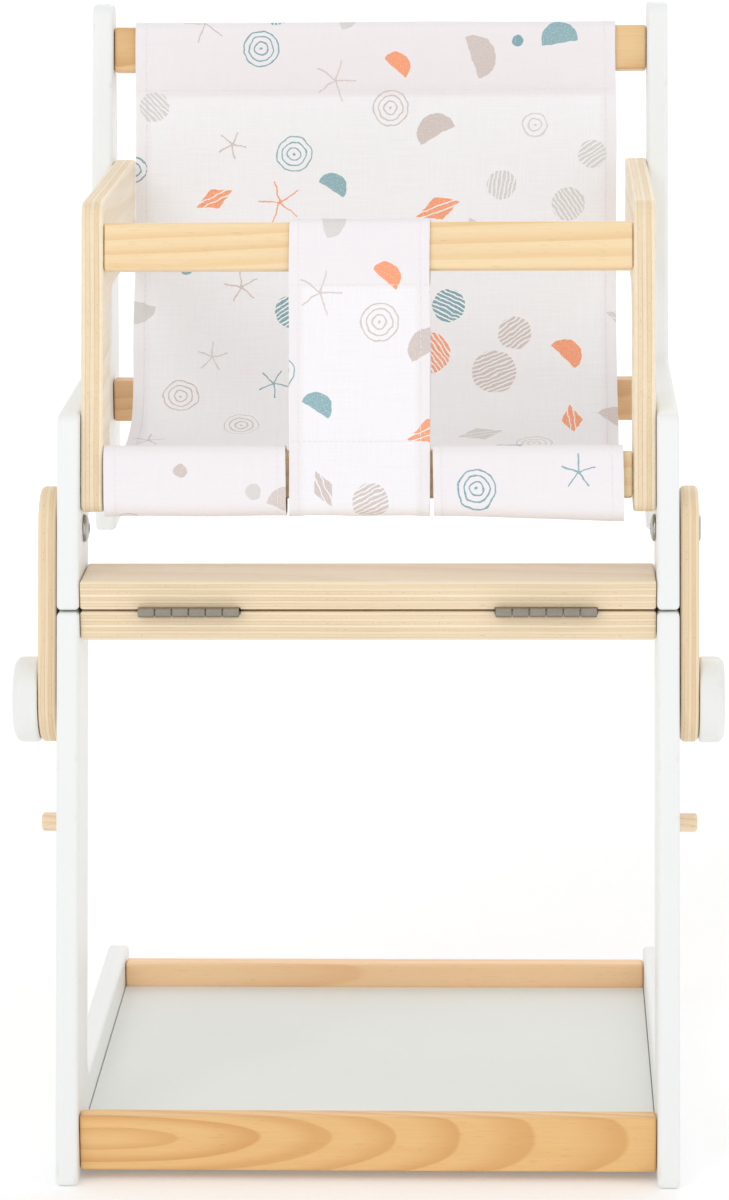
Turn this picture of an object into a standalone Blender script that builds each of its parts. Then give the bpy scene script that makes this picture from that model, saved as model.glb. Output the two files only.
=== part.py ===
"""Doll high chair that folds at its front into a low chair with a play table.

A raked stand carries a chair with a cloth seat. Two butt hinges join them at the front, and a link bar at each
side, bolted to the chair and clamped to the stand by a hand knob, keeps them together.

+X is to the right in a front view, +Y to the back and +Z up. Places are worked out with y counted back from the
front edge of the feet and z up from the floor, and the base empty moves the whole so that the origin lies on the
floor, in the middle of its width and depth.
"""

import math
from dataclasses import dataclass

import bmesh
import bpy
from mathutils import Vector

# Fits, in metres like every length here
SEAT_GAP = 0.0003
STACK_GAP = 0.001
CUT_OVERRUN = 0.002

# Side boards of the stand and of the chair
HALF_WIDTH = 0.150
BOARD_THICK = 0.0108
RAKE_SHARE = 0.2412
LEG_WIDTH = 0.050
EDGE_ROUND = 0.003
BOARD_CORNER = 0.004

# Stand
STAND_HEIGHT = 0.2688
RUNNER_HEIGHT = 0.036
RUNNER_DEPTH = 0.290
RUNNER_CORNER = 0.006
RUNNER_FILLET = 0.010

# Boards that the hinges join
DECK_THICK = 0.014
DECK_DEPTH = 0.0443
DECK_SETBACK = 0.0029
DECK_ROUND = 0.0015

# Stand rails and tray
STAND_RAIL_THICK = 0.011
STAND_RAIL_HEIGHT = 0.0275
STAND_RAIL_LIFT = 0.005
FRONT_STAND_RAIL_Y = 0.012
REAR_STAND_RAIL_Y = 0.263
RAIL_ROUND = 0.0012
TRAY_THICK = 0.005
TRAY_TOP = 0.020
TRAY_ROUND = 0.0006

# Chair side
SIDE_RISE = 0.0922
CUTOUT_RISE = 0.0422
CUTOUT_CORNER = 0.015
REAR_LEG_Y = 0.262
REAR_LEG_WIDTH = 0.030
SIDE_CORNER = 0.006
POST_RISE = 0.2712
POST_FOOT_Y = 0.255
POST_TOP_Y = 0.306
POST_TOP_WIDTH = 0.019
POST_TOP_CORNER = 0.008
POST_FILLET = 0.012

# Armrest
ARM_THICK = 0.0108
ARM_SETBACK = 0.0055
ARM_POST_WIDTH = 0.037
ARM_FOOT_RISE = 0.0442
ARM_TOP_RISE = 0.1912
ARM_HEIGHT = 0.046
ARM_BACK_Y = 0.305
ARM_FRONT_CORNER = 0.010
ARM_BACK_CORNER = 0.008
ARM_FOOT_CORNER = 0.006
ARM_FILLET = 0.018

# Plywood bars of the chair
BAR_THICK = 0.012
SAFETY_RAIL_HEIGHT = 0.023
SAFETY_RAIL_RISE = 0.1692
SEAT_RAIL_HEIGHT = 0.0225
SEAT_RAIL_RISE = 0.0612
SEAT_RAIL_SETBACK = 0.0082
REAR_RAIL_HEIGHT = 0.0215
REAR_RAIL_THICK = 0.013
REAR_RAIL_RISE = 0.0690
TOP_RAIL_HEIGHT = 0.023
TOP_RAIL_RISE = 0.2472

# Cloth
CLOTH_THICK = 0.0012
CLOTH_GAP = 0.0005
CASING_SLACK = 0.007
CASING_CORNER = 0.003
HEM_CORNER = 0.0018
SLING_SIDE_GAP = 0.01395
SLING_SHIFT = -0.0021
SLING_SAG = 0.017
SLING_BELLY = 0.0015
SLING_RAIL_GAP = 0.0015
SLING_RAIL_STEP = 0.009
BACK_BOW = 0.003
STRAP_WIDTH = 0.068
STRAP_SHIFT = -0.004
NOTCH_MARGIN = 0.0015
REAR_PAN_SHARES = ((0.09, 0.40), (0.23, 0.10), (0.42, 0.0))
FRONT_PAN_SHARES = ((0.66, 0.18), (0.86, 0.62))
BACK_SHARES = (0.33, 0.67)

# Hinges
HINGE_INSET = 0.064
HINGE_LENGTH = 0.049
HINGE_DEPTH = 0.022
HINGE_AHEAD = 0.0037
LEAF_THICK = 0.001
LEAF_CORNER = 0.0015
KNUCKLE_RADIUS = 0.00235
PIN_RADIUS = 0.0009
TONGUE_INSET = 0.0002
KNUCKLES = 6

# Link bar, its bolt and its knob
LINK_GAP = 0.0006
LINK_THICK = 0.009
LINK_WIDTH = 0.041
LINK_ROUND = 0.0012
BOLT_RISE = 0.0342
KNOB_DROP = 0.0458
KNOB_RADIUS = 0.0208
KNOB_THICK = 0.0122
KNOB_RIM = 0.0042
KNOB_BACK_RIM = 0.0016
KNOB_BORE_DEPTH = 0.008
SCREW_RADIUS = 0.0024
SCREW_TIP = 0.0006
INSERT_RADIUS = 0.0042
INSERT_LENGTH = 0.009
BOLT_RADIUS = 0.0023
BOLT_HEAD_RADIUS = 0.00675
BOLT_HEAD_RISE = 0.0025
BOLT_ENGAGE = 0.0085
SLEEVE_RADIUS = 0.004
SLEEVE_END_GAP = 0.0005
CAP_RADIUS = 0.0065
CAP_RISE = 0.001
CAP_EDGE = 0.0003

# Peg
PEG_RADIUS = 0.0045
PEG_PROUD = 0.009
PEG_SUNK = 0.009
PEG_DROP = 0.1038
PEG_EDGE = 0.0008

# Facets
ARC_STEP = math.radians(15)
BEND_STEPS = 2
KNOB_SIDES = 40
ROUND_SIDES = 24
SMALL_SIDES = 16
FOLD_SLICES = 6

RAKE = math.atan(RAKE_SHARE)
INNER_X = HALF_WIDTH - BOARD_THICK
HINGE_X = HALF_WIDTH - HINGE_INSET
CHAIR_BOTTOM = STAND_HEIGHT + STACK_GAP
BOLT_HEIGHT = CHAIR_BOTTOM + BOLT_RISE
KNOB_HEIGHT = STAND_HEIGHT - KNOB_DROP
PEG_HEIGHT = STAND_HEIGHT - PEG_DROP
SLING_WIDTH = 2 * (INNER_X - SLING_SIDE_GAP)
SIDES = (("left", -1), ("right", 1))


def rake_y(height, setback=0.0):
    """Depth of the raked front line at a height, moved back by setback."""
    return RAKE_SHARE * height + setback


def clear_scene():
    for obj in list(bpy.data.objects):
        bpy.data.objects.remove(obj, do_unlink=True)
    for group in list(bpy.data.collections):
        bpy.data.collections.remove(group)


def collection(name, hidden=False):
    group = bpy.data.collections.new(name)
    bpy.context.scene.collection.children.link(group)
    group.hide_render = hidden
    return group


clear_scene()
PIECES = collection("doll_high_chair")
CUTTERS = collection("cutters", hidden=True)


@dataclass(frozen=True)
class Holder:
    """An empty that carries pieces, and its place in the measuring frame."""

    empty: bpy.types.Object
    place: Vector


def holder(name, place, parent=None):
    empty = bpy.data.objects.new(name, None)
    PIECES.objects.link(empty)
    made = Holder(empty, Vector(place))
    if parent is not None:
        seat(empty, parent, place)
    return made


def seat(obj, parent, place):
    """Hang obj on its holder with its origin at a place in the measuring frame."""
    obj.parent = parent.empty
    obj.location = Vector(place) - parent.place


def linear(level):
    level = level / 255
    return level / 12.92 if level <= 0.04045 else ((level + 0.055) / 1.055) ** 2.4


def finish(name, red, green, blue, roughness, metallic=0.0):
    """Principled material from the colour as it shows in daylight."""
    made = bpy.data.materials.new(name)
    made.use_nodes = True
    shader = made.node_tree.nodes["Principled BSDF"]
    colour = (linear(red), linear(green), linear(blue), 1)
    shader.inputs["Base Color"].default_value = colour
    shader.inputs["Roughness"].default_value = roughness
    shader.inputs["Metallic"].default_value = metallic
    made.diffuse_color = colour
    return made


WHITE = finish("white_paint", 244, 246, 245, 0.45)
TRAY_WHITE = finish("tray_white", 232, 235, 232, 0.4)
PLYWOOD = finish("plywood", 240, 220, 180, 0.5)
PINE = finish("pine", 232, 200, 140, 0.5)
NICKEL = finish("nickel", 178, 170, 158, 0.35, 1.0)
STEEL = finish("zinc_steel", 205, 205, 205, 0.3, 1.0)
KNOB_WHITE = finish("knob_white", 238, 239, 236, 0.35)
CLOTH = finish("cloth", 238, 233, 231, 0.9)


def rounded(corners):
    """Outline of (y, z, radius) corners with each corner turned into an arc."""
    points = []
    for index, (y, z, radius) in enumerate(corners):
        here = Vector((y, z))
        if not radius:
            points.append(here)
            continue
        before = (Vector(corners[index - 1][:2]) - here).normalized()
        after = (Vector(corners[(index + 1) % len(corners)][:2]) - here).normalized()
        half = before.angle(after) / 2
        middle = here + (before + after).normalized() * (radius / math.sin(half))
        reach = radius / math.tan(half)
        start = here + before * reach - middle
        end = here + after * reach - middle
        turn = math.atan2(start.cross(end), start.dot(end))
        steps = max(1, math.ceil(abs(turn) / ARC_STEP))
        for step in range(steps + 1):
            points.append(middle + turned_by(start, turn * step / steps))
    return points


def turned_by(vector, angle):
    cosine = math.cos(angle)
    sine = math.sin(angle)
    return Vector((vector.x * cosine - vector.y * sine, vector.x * sine + vector.y * cosine))


def extruded(name, outlines, thick, lies_flat=False):
    """Mesh of flat outlines, extruded by thick about their plane and welded into one closed skin.

    The outlines are (y, z) pairs for a board that stands across X, or (x, y) pairs for one that lies flat.
    """
    curve = bpy.data.curves.new(name, "CURVE")
    curve.dimensions = "2D"
    curve.fill_mode = "BOTH"
    curve.extrude = thick / 2
    for outline in outlines:
        spline = curve.splines.new("POLY")
        spline.points.add(len(outline) - 1)
        for point, place in zip(spline.points, outline):
            point.co = (place[0], place[1], 0, 1)
        spline.use_cyclic_u = True
    drawn = bpy.data.objects.new(name + "_outline", curve)
    PIECES.objects.link(drawn)
    if not lies_flat:
        drawn.rotation_euler = (math.pi / 2, 0, math.pi / 2)
    bpy.context.view_layer.update()
    graph = bpy.context.evaluated_depsgraph_get()
    mesh = bpy.data.meshes.new_from_object(drawn.evaluated_get(graph))
    mesh.name = name
    solid = bpy.data.objects.new(name, mesh)
    solid.matrix_world = drawn.matrix_world
    PIECES.objects.link(solid)
    bpy.data.objects.remove(drawn, do_unlink=True)
    bpy.data.curves.remove(curve)
    shape = bmesh.new()
    shape.from_mesh(mesh)
    bmesh.ops.remove_doubles(shape, verts=shape.verts, dist=CUT_OVERRUN / 1000)
    if len(outlines) == 1:
        # Each flat side becomes one face, so that a bevel runs evenly round it
        bmesh.ops.dissolve_limit(
            shape, angle_limit=ARC_STEP / 100, verts=shape.verts, edges=shape.edges
        )
    bmesh.ops.recalc_face_normals(shape, faces=shape.faces)
    shape.to_mesh(mesh)
    shape.free()
    return solid


def finished(obj, material, smooth=False):
    obj.data.materials.clear()
    obj.data.materials.append(material)
    if smooth:
        obj.data.shade_smooth()
        obj.data.set_sharp_from_angle(angle=math.radians(40))
    return obj


def soften(obj, width, segments=2):
    """Round the rims of a board, but not the facets of its corner arcs."""
    bevel = obj.modifiers.new("edge", "BEVEL")
    bevel.width = width
    bevel.segments = segments
    bevel.limit_method = "ANGLE"
    bevel.angle_limit = math.radians(50)
    bevel.use_clamp_overlap = False


def board(name, corners, thick, middle_x, parent, material, edge, segments=2, about=(0.0, 0.0)):
    """Standing board of one outline, with its origin at the (y, z) pair about."""
    outline = [point - Vector(about) for point in rounded(corners)]
    obj = extruded(name, [outline], thick)
    seat(obj, parent, (middle_x, *about))
    soften(obj, edge, segments)
    return finished(obj, material)


def block(name, size, place, parent, material, edge=0.0, tilt=0.0):
    """Box of the given size, leaning back by tilt, with its middle at place."""
    mesh = bpy.data.meshes.new(name)
    shape = bmesh.new()
    bmesh.ops.create_cube(shape, size=1)
    bmesh.ops.scale(shape, vec=size, verts=shape.verts)
    shape.to_mesh(mesh)
    shape.free()
    obj = bpy.data.objects.new(name, mesh)
    PIECES.objects.link(obj)
    seat(obj, parent, place)
    obj.rotation_euler.x = -tilt
    if edge:
        soften(obj, edge)
    return finished(obj, material)


def turned(name, profile, place, side, parent, material, sides):
    """Piece turned about X from (radius, height) pairs, whose height points out of the chair on its side."""
    mesh = bpy.data.meshes.new(name)
    points = [(radius, 0, height) for radius, height in profile]
    edges = [(index, index + 1) for index in range(len(points) - 1)]
    mesh.from_pydata(points, edges, [])
    obj = bpy.data.objects.new(name, mesh)
    PIECES.objects.link(obj)
    seat(obj, parent, place)
    obj.rotation_euler.y = side * math.pi / 2
    screw = obj.modifiers.new("turn", "SCREW")
    screw.steps = sides
    screw.render_steps = sides
    screw.use_merge_vertices = True
    screw.merge_threshold = CUT_OVERRUN / 1000
    screw.use_smooth_shade = True
    return finished(obj, material)


def hide(obj):
    """Keep a cutter or a joining shape out of the model."""
    PIECES.objects.unlink(obj)
    CUTTERS.objects.link(obj)
    obj.hide_render = True
    obj.display_type = "WIRE"
    return obj


def cylinder(name, radius, length, place, parent, sides):
    """Cylinder along X with its middle at place."""
    mesh = bpy.data.meshes.new(name)
    shape = bmesh.new()
    bmesh.ops.create_cone(
        shape, cap_ends=True, segments=sides, radius1=radius, radius2=radius, depth=length
    )
    shape.to_mesh(mesh)
    shape.free()
    obj = bpy.data.objects.new(name, mesh)
    PIECES.objects.link(obj)
    seat(obj, parent, place)
    obj.rotation_euler.y = math.pi / 2
    return finished(obj, STEEL, smooth=True)


def combine(obj, other, operation="DIFFERENCE"):
    modifier = obj.modifiers.new(operation.lower(), "BOOLEAN")
    modifier.operation = operation
    modifier.solver = "EXACT"
    modifier.object = other


def bore(obj, name, radius, start_x, end_x, y, z, parent, sides=ROUND_SIDES):
    """Cut a round hole along X between two places on that axis."""
    middle = ((start_x + end_x) / 2, y, z)
    combine(obj, hide(cylinder(name, radius, abs(end_x - start_x), middle, parent, sides)))


def leaning(y, z, tilt):
    """Map of (back, up) pairs in the frame of a leaning bar to (y, z)."""
    cosine = math.cos(tilt)
    sine = math.sin(tilt)
    return lambda back, up: (y + back * cosine + up * sine, z - back * sine + up * cosine)


def tangent_curve(points, steps):
    """Smooth line through the points, each span cut into steps."""
    line = []
    for index in range(len(points) - 1):
        first = points[max(index - 1, 0)]
        second, third = points[index], points[index + 1]
        fourth = points[min(index + 2, len(points) - 1)]
        for step in range(steps):
            t = step / steps
            line.append(
                (
                    second * 2
                    + (third - first) * t
                    + (first * 2 - second * 5 + third * 4 - fourth) * t**2
                    + (second * 3 - first - third * 3 + fourth) * t**3
                )
                / 2
            )
    line.append(points[-1])
    return line


def offset(line, distance):
    """Line moved to its right-hand side, seen along its run."""
    moved = []
    for index, point in enumerate(line):
        run = line[min(index + 1, len(line) - 1)] - line[max(index - 1, 0)]
        moved.append(point + Vector((run.y, -run.x)).normalized() * distance)
    return moved


# Depth of the whole: from the feet's rounded front to the top of the back posts
stand_corners = [
    (rake_y(0), 0.0, BOARD_CORNER),
    (rake_y(STAND_HEIGHT), STAND_HEIGHT, BOARD_CORNER),
    (rake_y(STAND_HEIGHT, LEG_WIDTH), STAND_HEIGHT, BOARD_CORNER),
    (rake_y(RUNNER_HEIGHT, LEG_WIDTH), RUNNER_HEIGHT, RUNNER_FILLET),
    (RUNNER_DEPTH, RUNNER_HEIGHT, RUNNER_CORNER),
    (RUNNER_DEPTH, 0.0, BOARD_CORNER),
]
SIDE_TOP = CHAIR_BOTTOM + SIDE_RISE
CUTOUT_TOP = CHAIR_BOTTOM + CUTOUT_RISE
POST_TOP = CHAIR_BOTTOM + POST_RISE
REAR_EDGE_Y = REAR_LEG_Y + REAR_LEG_WIDTH
chair_corners = [
    (rake_y(CHAIR_BOTTOM), CHAIR_BOTTOM, BOARD_CORNER),
    (rake_y(CHAIR_BOTTOM, LEG_WIDTH), CHAIR_BOTTOM, BOARD_CORNER),
    (rake_y(CUTOUT_TOP, LEG_WIDTH), CUTOUT_TOP, CUTOUT_CORNER),
    (REAR_LEG_Y, CUTOUT_TOP, CUTOUT_CORNER),
    (REAR_LEG_Y, CHAIR_BOTTOM, BOARD_CORNER),
    (REAR_EDGE_Y, CHAIR_BOTTOM, SIDE_CORNER),
    (POST_TOP_Y + POST_TOP_WIDTH, POST_TOP, POST_TOP_CORNER),
    (POST_TOP_Y, POST_TOP, POST_TOP_CORNER),
    (POST_FOOT_Y, SIDE_TOP, POST_FILLET),
    (rake_y(SIDE_TOP), SIDE_TOP, SIDE_CORNER),
]
outline_depths = [point.x for point in rounded(stand_corners) + rounded(chair_corners)]
MIDDLE_Y = (min(outline_depths) + max(outline_depths)) / 2

HINGE_Y = rake_y(STAND_HEIGHT, DECK_SETBACK) - HINGE_AHEAD
HINGE_Z = STAND_HEIGHT + STACK_GAP / 2
BOLT_Y = rake_y(BOLT_HEIGHT, LEG_WIDTH / 2)
KNOB_Y = rake_y(KNOB_HEIGHT, LEG_WIDTH / 2)
PEG_Y = rake_y(PEG_HEIGHT, LEG_WIDTH / 2)
LINK_INNER_X = HALF_WIDTH + LINK_GAP
LINK_OUTER_X = LINK_INNER_X + LINK_THICK

base = holder("high_chair_base", (0, 0, 0))
base.empty.location = (0, -MIDDLE_Y, 0)
chair = holder("chair_fold_axis", (0, HINGE_Y, HINGE_Z), base)
links = {
    name: holder(f"link_axis_{name}", (side * HALF_WIDTH, BOLT_Y, BOLT_HEIGHT), chair)
    for name, side in SIDES
}
knobs = {
    name: holder(f"knob_axis_{name}", (side * LINK_OUTER_X, KNOB_Y, KNOB_HEIGHT), links[name])
    for name, side in SIDES
}

# Stand sides, with blind holes for the peg and the thread insert
SIDE_MIDDLE_X = HALF_WIDTH - BOARD_THICK / 2
for name, side in SIDES:
    stand_side = board(
        f"stand_side_{name}", stand_corners, BOARD_THICK, side * SIDE_MIDDLE_X, base, WHITE, EDGE_ROUND, 3
    )
    outside = side * (HALF_WIDTH + CUT_OVERRUN)
    bore(
        stand_side, f"peg_hole_{name}", PEG_RADIUS + SEAT_GAP,
        side * (HALF_WIDTH - PEG_SUNK - SEAT_GAP), outside, PEG_Y, PEG_HEIGHT, base,
    )
    bore(
        stand_side, f"insert_hole_{name}", INSERT_RADIUS + SEAT_GAP,
        side * (HALF_WIDTH - INSERT_LENGTH - SEAT_GAP), outside, KNOB_Y, KNOB_HEIGHT, base,
    )
    peg_length = PEG_SUNK + PEG_PROUD
    turned(
        f"peg_{name}",
        [
            (0, peg_length),
            (PEG_RADIUS - PEG_EDGE, peg_length),
            (PEG_RADIUS, peg_length - PEG_EDGE),
            (PEG_RADIUS, 0),
            (0, 0),
        ],
        (side * (HALF_WIDTH - PEG_SUNK), PEG_Y, PEG_HEIGHT), side, base, PINE, ROUND_SIDES,
    )
    thread_radius = SCREW_RADIUS + SEAT_GAP
    turned(
        f"knob_insert_{name}",
        [
            (thread_radius, INSERT_LENGTH),
            (INSERT_RADIUS, INSERT_LENGTH),
            (INSERT_RADIUS, 0),
            (thread_radius, 0),
            (thread_radius, INSERT_LENGTH),
        ],
        (side * (HALF_WIDTH - INSERT_LENGTH), KNOB_Y, KNOB_HEIGHT), side, base, STEEL, ROUND_SIDES,
    )

# Rails and tray between the runners
between_sides = 2 * (INNER_X - SEAT_GAP)
stand_rail_z = STAND_RAIL_LIFT + STAND_RAIL_HEIGHT / 2
for name, rail_y in (("front", FRONT_STAND_RAIL_Y), ("rear", REAR_STAND_RAIL_Y)):
    block(
        f"stand_{name}_rail", (between_sides, STAND_RAIL_THICK, STAND_RAIL_HEIGHT),
        (0, rail_y + STAND_RAIL_THICK / 2, stand_rail_z), base, PINE, RAIL_ROUND,
    )
tray_front = FRONT_STAND_RAIL_Y + STAND_RAIL_THICK + SEAT_GAP
tray_back = REAR_STAND_RAIL_Y - SEAT_GAP
block(
    "tray_board", (between_sides, tray_back - tray_front, TRAY_THICK),
    (0, (tray_front + tray_back) / 2, TRAY_TOP - TRAY_THICK / 2), base, TRAY_WHITE, TRAY_ROUND,
)

# The two boards that carry the hinges, one on the stand and one on the chair, with a pocket for each leaf
deck_front = rake_y(STAND_HEIGHT, DECK_SETBACK)
deck_y = deck_front + DECK_DEPTH / 2
deck_size = (between_sides, DECK_DEPTH, DECK_THICK)
stand_deck = block(
    "stand_top_board", deck_size, (0, deck_y, STAND_HEIGHT - DECK_THICK / 2), base, PLYWOOD, DECK_ROUND
)
chair_deck = block(
    "chair_base_board", deck_size, (0, deck_y, CHAIR_BOTTOM + DECK_THICK / 2), chair, PLYWOOD, DECK_ROUND
)
pocket_sink = LEAF_THICK + SEAT_GAP
for name, side in SIDES:
    for deck, parent, face, away in (
        (stand_deck, base, STAND_HEIGHT, 1),
        (chair_deck, chair, CHAIR_BOTTOM, -1),
    ):
        pocket_back = HINGE_Y + HINGE_DEPTH + SEAT_GAP
        pocket_front = deck_front - CUT_OVERRUN
        pocket = block(
            f"pocket_{name}_{deck.name}",
            (HINGE_LENGTH + 2 * SEAT_GAP, pocket_back - pocket_front, pocket_sink + CUT_OVERRUN),
            (
                side * HINGE_X,
                (pocket_back + pocket_front) / 2,
                face + away * (CUT_OVERRUN - pocket_sink) / 2,
            ),
            parent, NICKEL,
        )
        combine(deck, hide(pocket))

# Butt hinges: each leaf has every other knuckle, and the pin stays with the stand
pitch = HINGE_LENGTH / KNUCKLES
knuckle_length = pitch - SEAT_GAP
pin_bore = PIN_RADIUS + SEAT_GAP
leaf_start = KNUCKLE_RADIUS + SEAT_GAP
tongue_start = pin_bore + (KNUCKLE_RADIUS - pin_bore) / 6
leaf_middle = (STACK_GAP + LEAF_THICK) / 2


def hinge_leaf(name, side, first, away, parent):
    """Leaf whose front edge runs into its own knuckles, and is notched behind the other leaf's."""
    half = HINGE_LENGTH / 2
    corners = [
        (half, HINGE_DEPTH, LEAF_CORNER),
        (-half, HINGE_DEPTH, LEAF_CORNER),
        (-half, tongue_start, 0),
        (half, tongue_start, 0),
    ]
    leaf = extruded(name, [rounded(corners)], LEAF_THICK, lies_flat=True)
    middle_x = side * HINGE_X
    leaf_z = HINGE_Z - away * leaf_middle
    seat(leaf, parent, (middle_x, HINGE_Y, leaf_z))
    finished(leaf, NICKEL)
    notch_width = 2 * pitch - knuckle_length + 2 * TONGUE_INSET
    notch_start = tongue_start - CUT_OVERRUN
    middles = [middle_x - half + (index + 0.5) * pitch for index in range(KNUCKLES)]
    for x in middles[1 - first :: 2]:
        gap = block(
            f"{name}_notch",
            (notch_width, leaf_start - notch_start, LEAF_THICK + 2 * CUT_OVERRUN),
            (x, HINGE_Y + (notch_start + leaf_start) / 2, leaf_z), parent, NICKEL,
        )
        combine(leaf, hide(gap))
    for x in middles[first::2]:
        ring = cylinder(
            f"{name}_knuckle", KNUCKLE_RADIUS, knuckle_length, (x, HINGE_Y, HINGE_Z), parent, SMALL_SIDES
        )
        combine(leaf, hide(ring), "UNION")
    end_x = half + CUT_OVERRUN
    bore(
        leaf, f"{name}_bore", pin_bore, middle_x - end_x, middle_x + end_x, HINGE_Y, HINGE_Z, parent, SMALL_SIDES
    )


for name, side in SIDES:
    hinge_leaf(f"hinge_lower_leaf_{name}", side, 0, 1, base)
    hinge_leaf(f"hinge_upper_leaf_{name}", side, 1, -1, chair)
    cylinder(
        f"hinge_pin_{name}", PIN_RADIUS, HINGE_LENGTH, (side * HINGE_X, HINGE_Y, HINGE_Z), base, SMALL_SIDES
    ).data.materials[0] = NICKEL

# Chair sides and armrests
arm_middle_x = INNER_X - SEAT_GAP - ARM_THICK / 2
ARM_INNER_X = INNER_X - SEAT_GAP - ARM_THICK
arm_foot = CHAIR_BOTTOM + ARM_FOOT_RISE
arm_top = CHAIR_BOTTOM + ARM_TOP_RISE
arm_bottom = arm_top - ARM_HEIGHT
arm_back_edge = ARM_SETBACK + ARM_POST_WIDTH
arm_corners = [
    (rake_y(arm_foot, ARM_SETBACK), arm_foot, ARM_FOOT_CORNER),
    (rake_y(arm_foot, arm_back_edge), arm_foot, ARM_FOOT_CORNER),
    (rake_y(arm_bottom, arm_back_edge), arm_bottom, ARM_FILLET),
    (ARM_BACK_Y, arm_bottom, ARM_BACK_CORNER),
    (ARM_BACK_Y, arm_top, ARM_BACK_CORNER),
    (rake_y(arm_top, ARM_SETBACK), arm_top, ARM_FRONT_CORNER),
]
sleeve_hole = SLEEVE_RADIUS + SEAT_GAP
bolt_hole = BOLT_RADIUS + SEAT_GAP
for name, side in SIDES:
    chair_side = board(
        f"chair_side_{name}", chair_corners, BOARD_THICK, side * SIDE_MIDDLE_X, chair, WHITE, EDGE_ROUND, 3
    )
    bore(
        chair_side, f"bolt_hole_{name}", bolt_hole, side * (INNER_X - CUT_OVERRUN),
        side * (HALF_WIDTH + CUT_OVERRUN), BOLT_Y, BOLT_HEIGHT, chair, SMALL_SIDES,
    )
    board(f"armrest_{name}", arm_corners, ARM_THICK, side * arm_middle_x, chair, PLYWOOD, LINK_ROUND)

# Bars of the chair
between_arms = 2 * (ARM_INNER_X - SEAT_GAP)
half_bar = BAR_THICK / 2 / math.cos(RAKE)
safety_z = CHAIR_BOTTOM + SAFETY_RAIL_RISE
safety_y = rake_y(safety_z, ARM_SETBACK) + half_bar
seat_z = CHAIR_BOTTOM + SEAT_RAIL_RISE
seat_y = rake_y(seat_z, SEAT_RAIL_SETBACK) + half_bar
rear_rail_z = CHAIR_BOTTOM + REAR_RAIL_RISE
top_rail_z = CHAIR_BOTTOM + TOP_RAIL_RISE
front_run = (POST_TOP_Y - POST_FOOT_Y) / (POST_TOP - SIDE_TOP)
rear_run = (POST_TOP_Y + POST_TOP_WIDTH - REAR_EDGE_Y) / POST_RISE
post_tilt = math.atan((front_run + rear_run) / 2)
post_front = POST_FOOT_Y + front_run * (top_rail_z - SIDE_TOP)
post_rear = REAR_EDGE_Y + rear_run * (top_rail_z - CHAIR_BOTTOM)
top_rail_y = (post_front + post_rear) / 2
block(
    "safety_rail", (between_arms, BAR_THICK, SAFETY_RAIL_HEIGHT), (0, safety_y, safety_z),
    chair, PLYWOOD, RAIL_ROUND, RAKE,
)
block(
    "seat_front_rail", (between_arms, BAR_THICK, SEAT_RAIL_HEIGHT), (0, seat_y, seat_z),
    chair, PLYWOOD, RAIL_ROUND, RAKE,
)
block(
    "seat_rear_rail", (between_sides, REAR_RAIL_THICK, REAR_RAIL_HEIGHT),
    (0, REAR_LEG_Y + REAR_RAIL_THICK / 2, rear_rail_z), chair, PLYWOOD, RAIL_ROUND,
)
block(
    "back_top_rail", (between_sides, BAR_THICK, TOP_RAIL_HEIGHT), (0, top_rail_y, top_rail_z),
    chair, PLYWOOD, RAIL_ROUND, post_tilt,
)

# Cloth casings: each goes round its bar, loose below it
skin = CLOTH_GAP + CLOTH_THICK
casing_half = BAR_THICK / 2 + skin
hole_half = BAR_THICK / 2 + CLOTH_GAP


def casing_hole(rail_height, place):
    """Inside of a casing, in the frame of its bar."""
    top = rail_height / 2 + CLOTH_GAP
    bottom = -rail_height / 2 - CASING_SLACK
    pairs = ((-hole_half, bottom), (-hole_half, top), (hole_half, top), (hole_half, bottom))
    return rounded([(*place(back, up), HEM_CORNER) for back, up in pairs])


def casing_bottom(rail_height):
    return -rail_height / 2 - CASING_SLACK - CLOTH_THICK


on_top = leaning(top_rail_y, top_rail_z, post_tilt)
on_front = leaning(seat_y, seat_z, RAKE)
top_up = TOP_RAIL_HEIGHT / 2 + skin
front_up = SEAT_RAIL_HEIGHT / 2 + skin
top_low = casing_bottom(TOP_RAIL_HEIGHT)
front_low = casing_bottom(SEAT_RAIL_HEIGHT)

# Middle line of the sheet, from the top casing past the rear seat rail to the front casing
sheet_start = Vector(on_top(CLOTH_THICK / 2 - casing_half, top_low))
sheet_end = Vector(on_front(casing_half, front_up - CLOTH_THICK / 2))
past_rail = Vector(
    (REAR_LEG_Y - SLING_RAIL_GAP, rear_rail_z + REAR_RAIL_HEIGHT / 2 + SLING_RAIL_STEP)
)
back_run = past_rail - sheet_start
back_bow = Vector((BACK_BOW, 0))
lowest = sheet_end.y - SLING_SAG
pan_depth = past_rail.x - sheet_end.x
path = [sheet_start]
path += [sheet_start + back_run * share + back_bow for share in BACK_SHARES]
path.append(past_rail)
path += [
    Vector((past_rail.x - pan_depth * share, lowest + (past_rail.y - lowest) * rise))
    for share, rise in REAR_PAN_SHARES
]
path += [
    Vector((past_rail.x - pan_depth * share, lowest + SLING_SAG * rise)) for share, rise in FRONT_PAN_SHARES
]
path.append(sheet_end)
middle_line = tangent_curve(path, BEND_STEPS)
upper_side = offset(middle_line, -CLOTH_THICK / 2)
lower_side = offset(middle_line, CLOTH_THICK / 2)
if upper_side[len(path)].x > lower_side[len(path)].x:
    upper_side, lower_side = lower_side, upper_side

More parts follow.
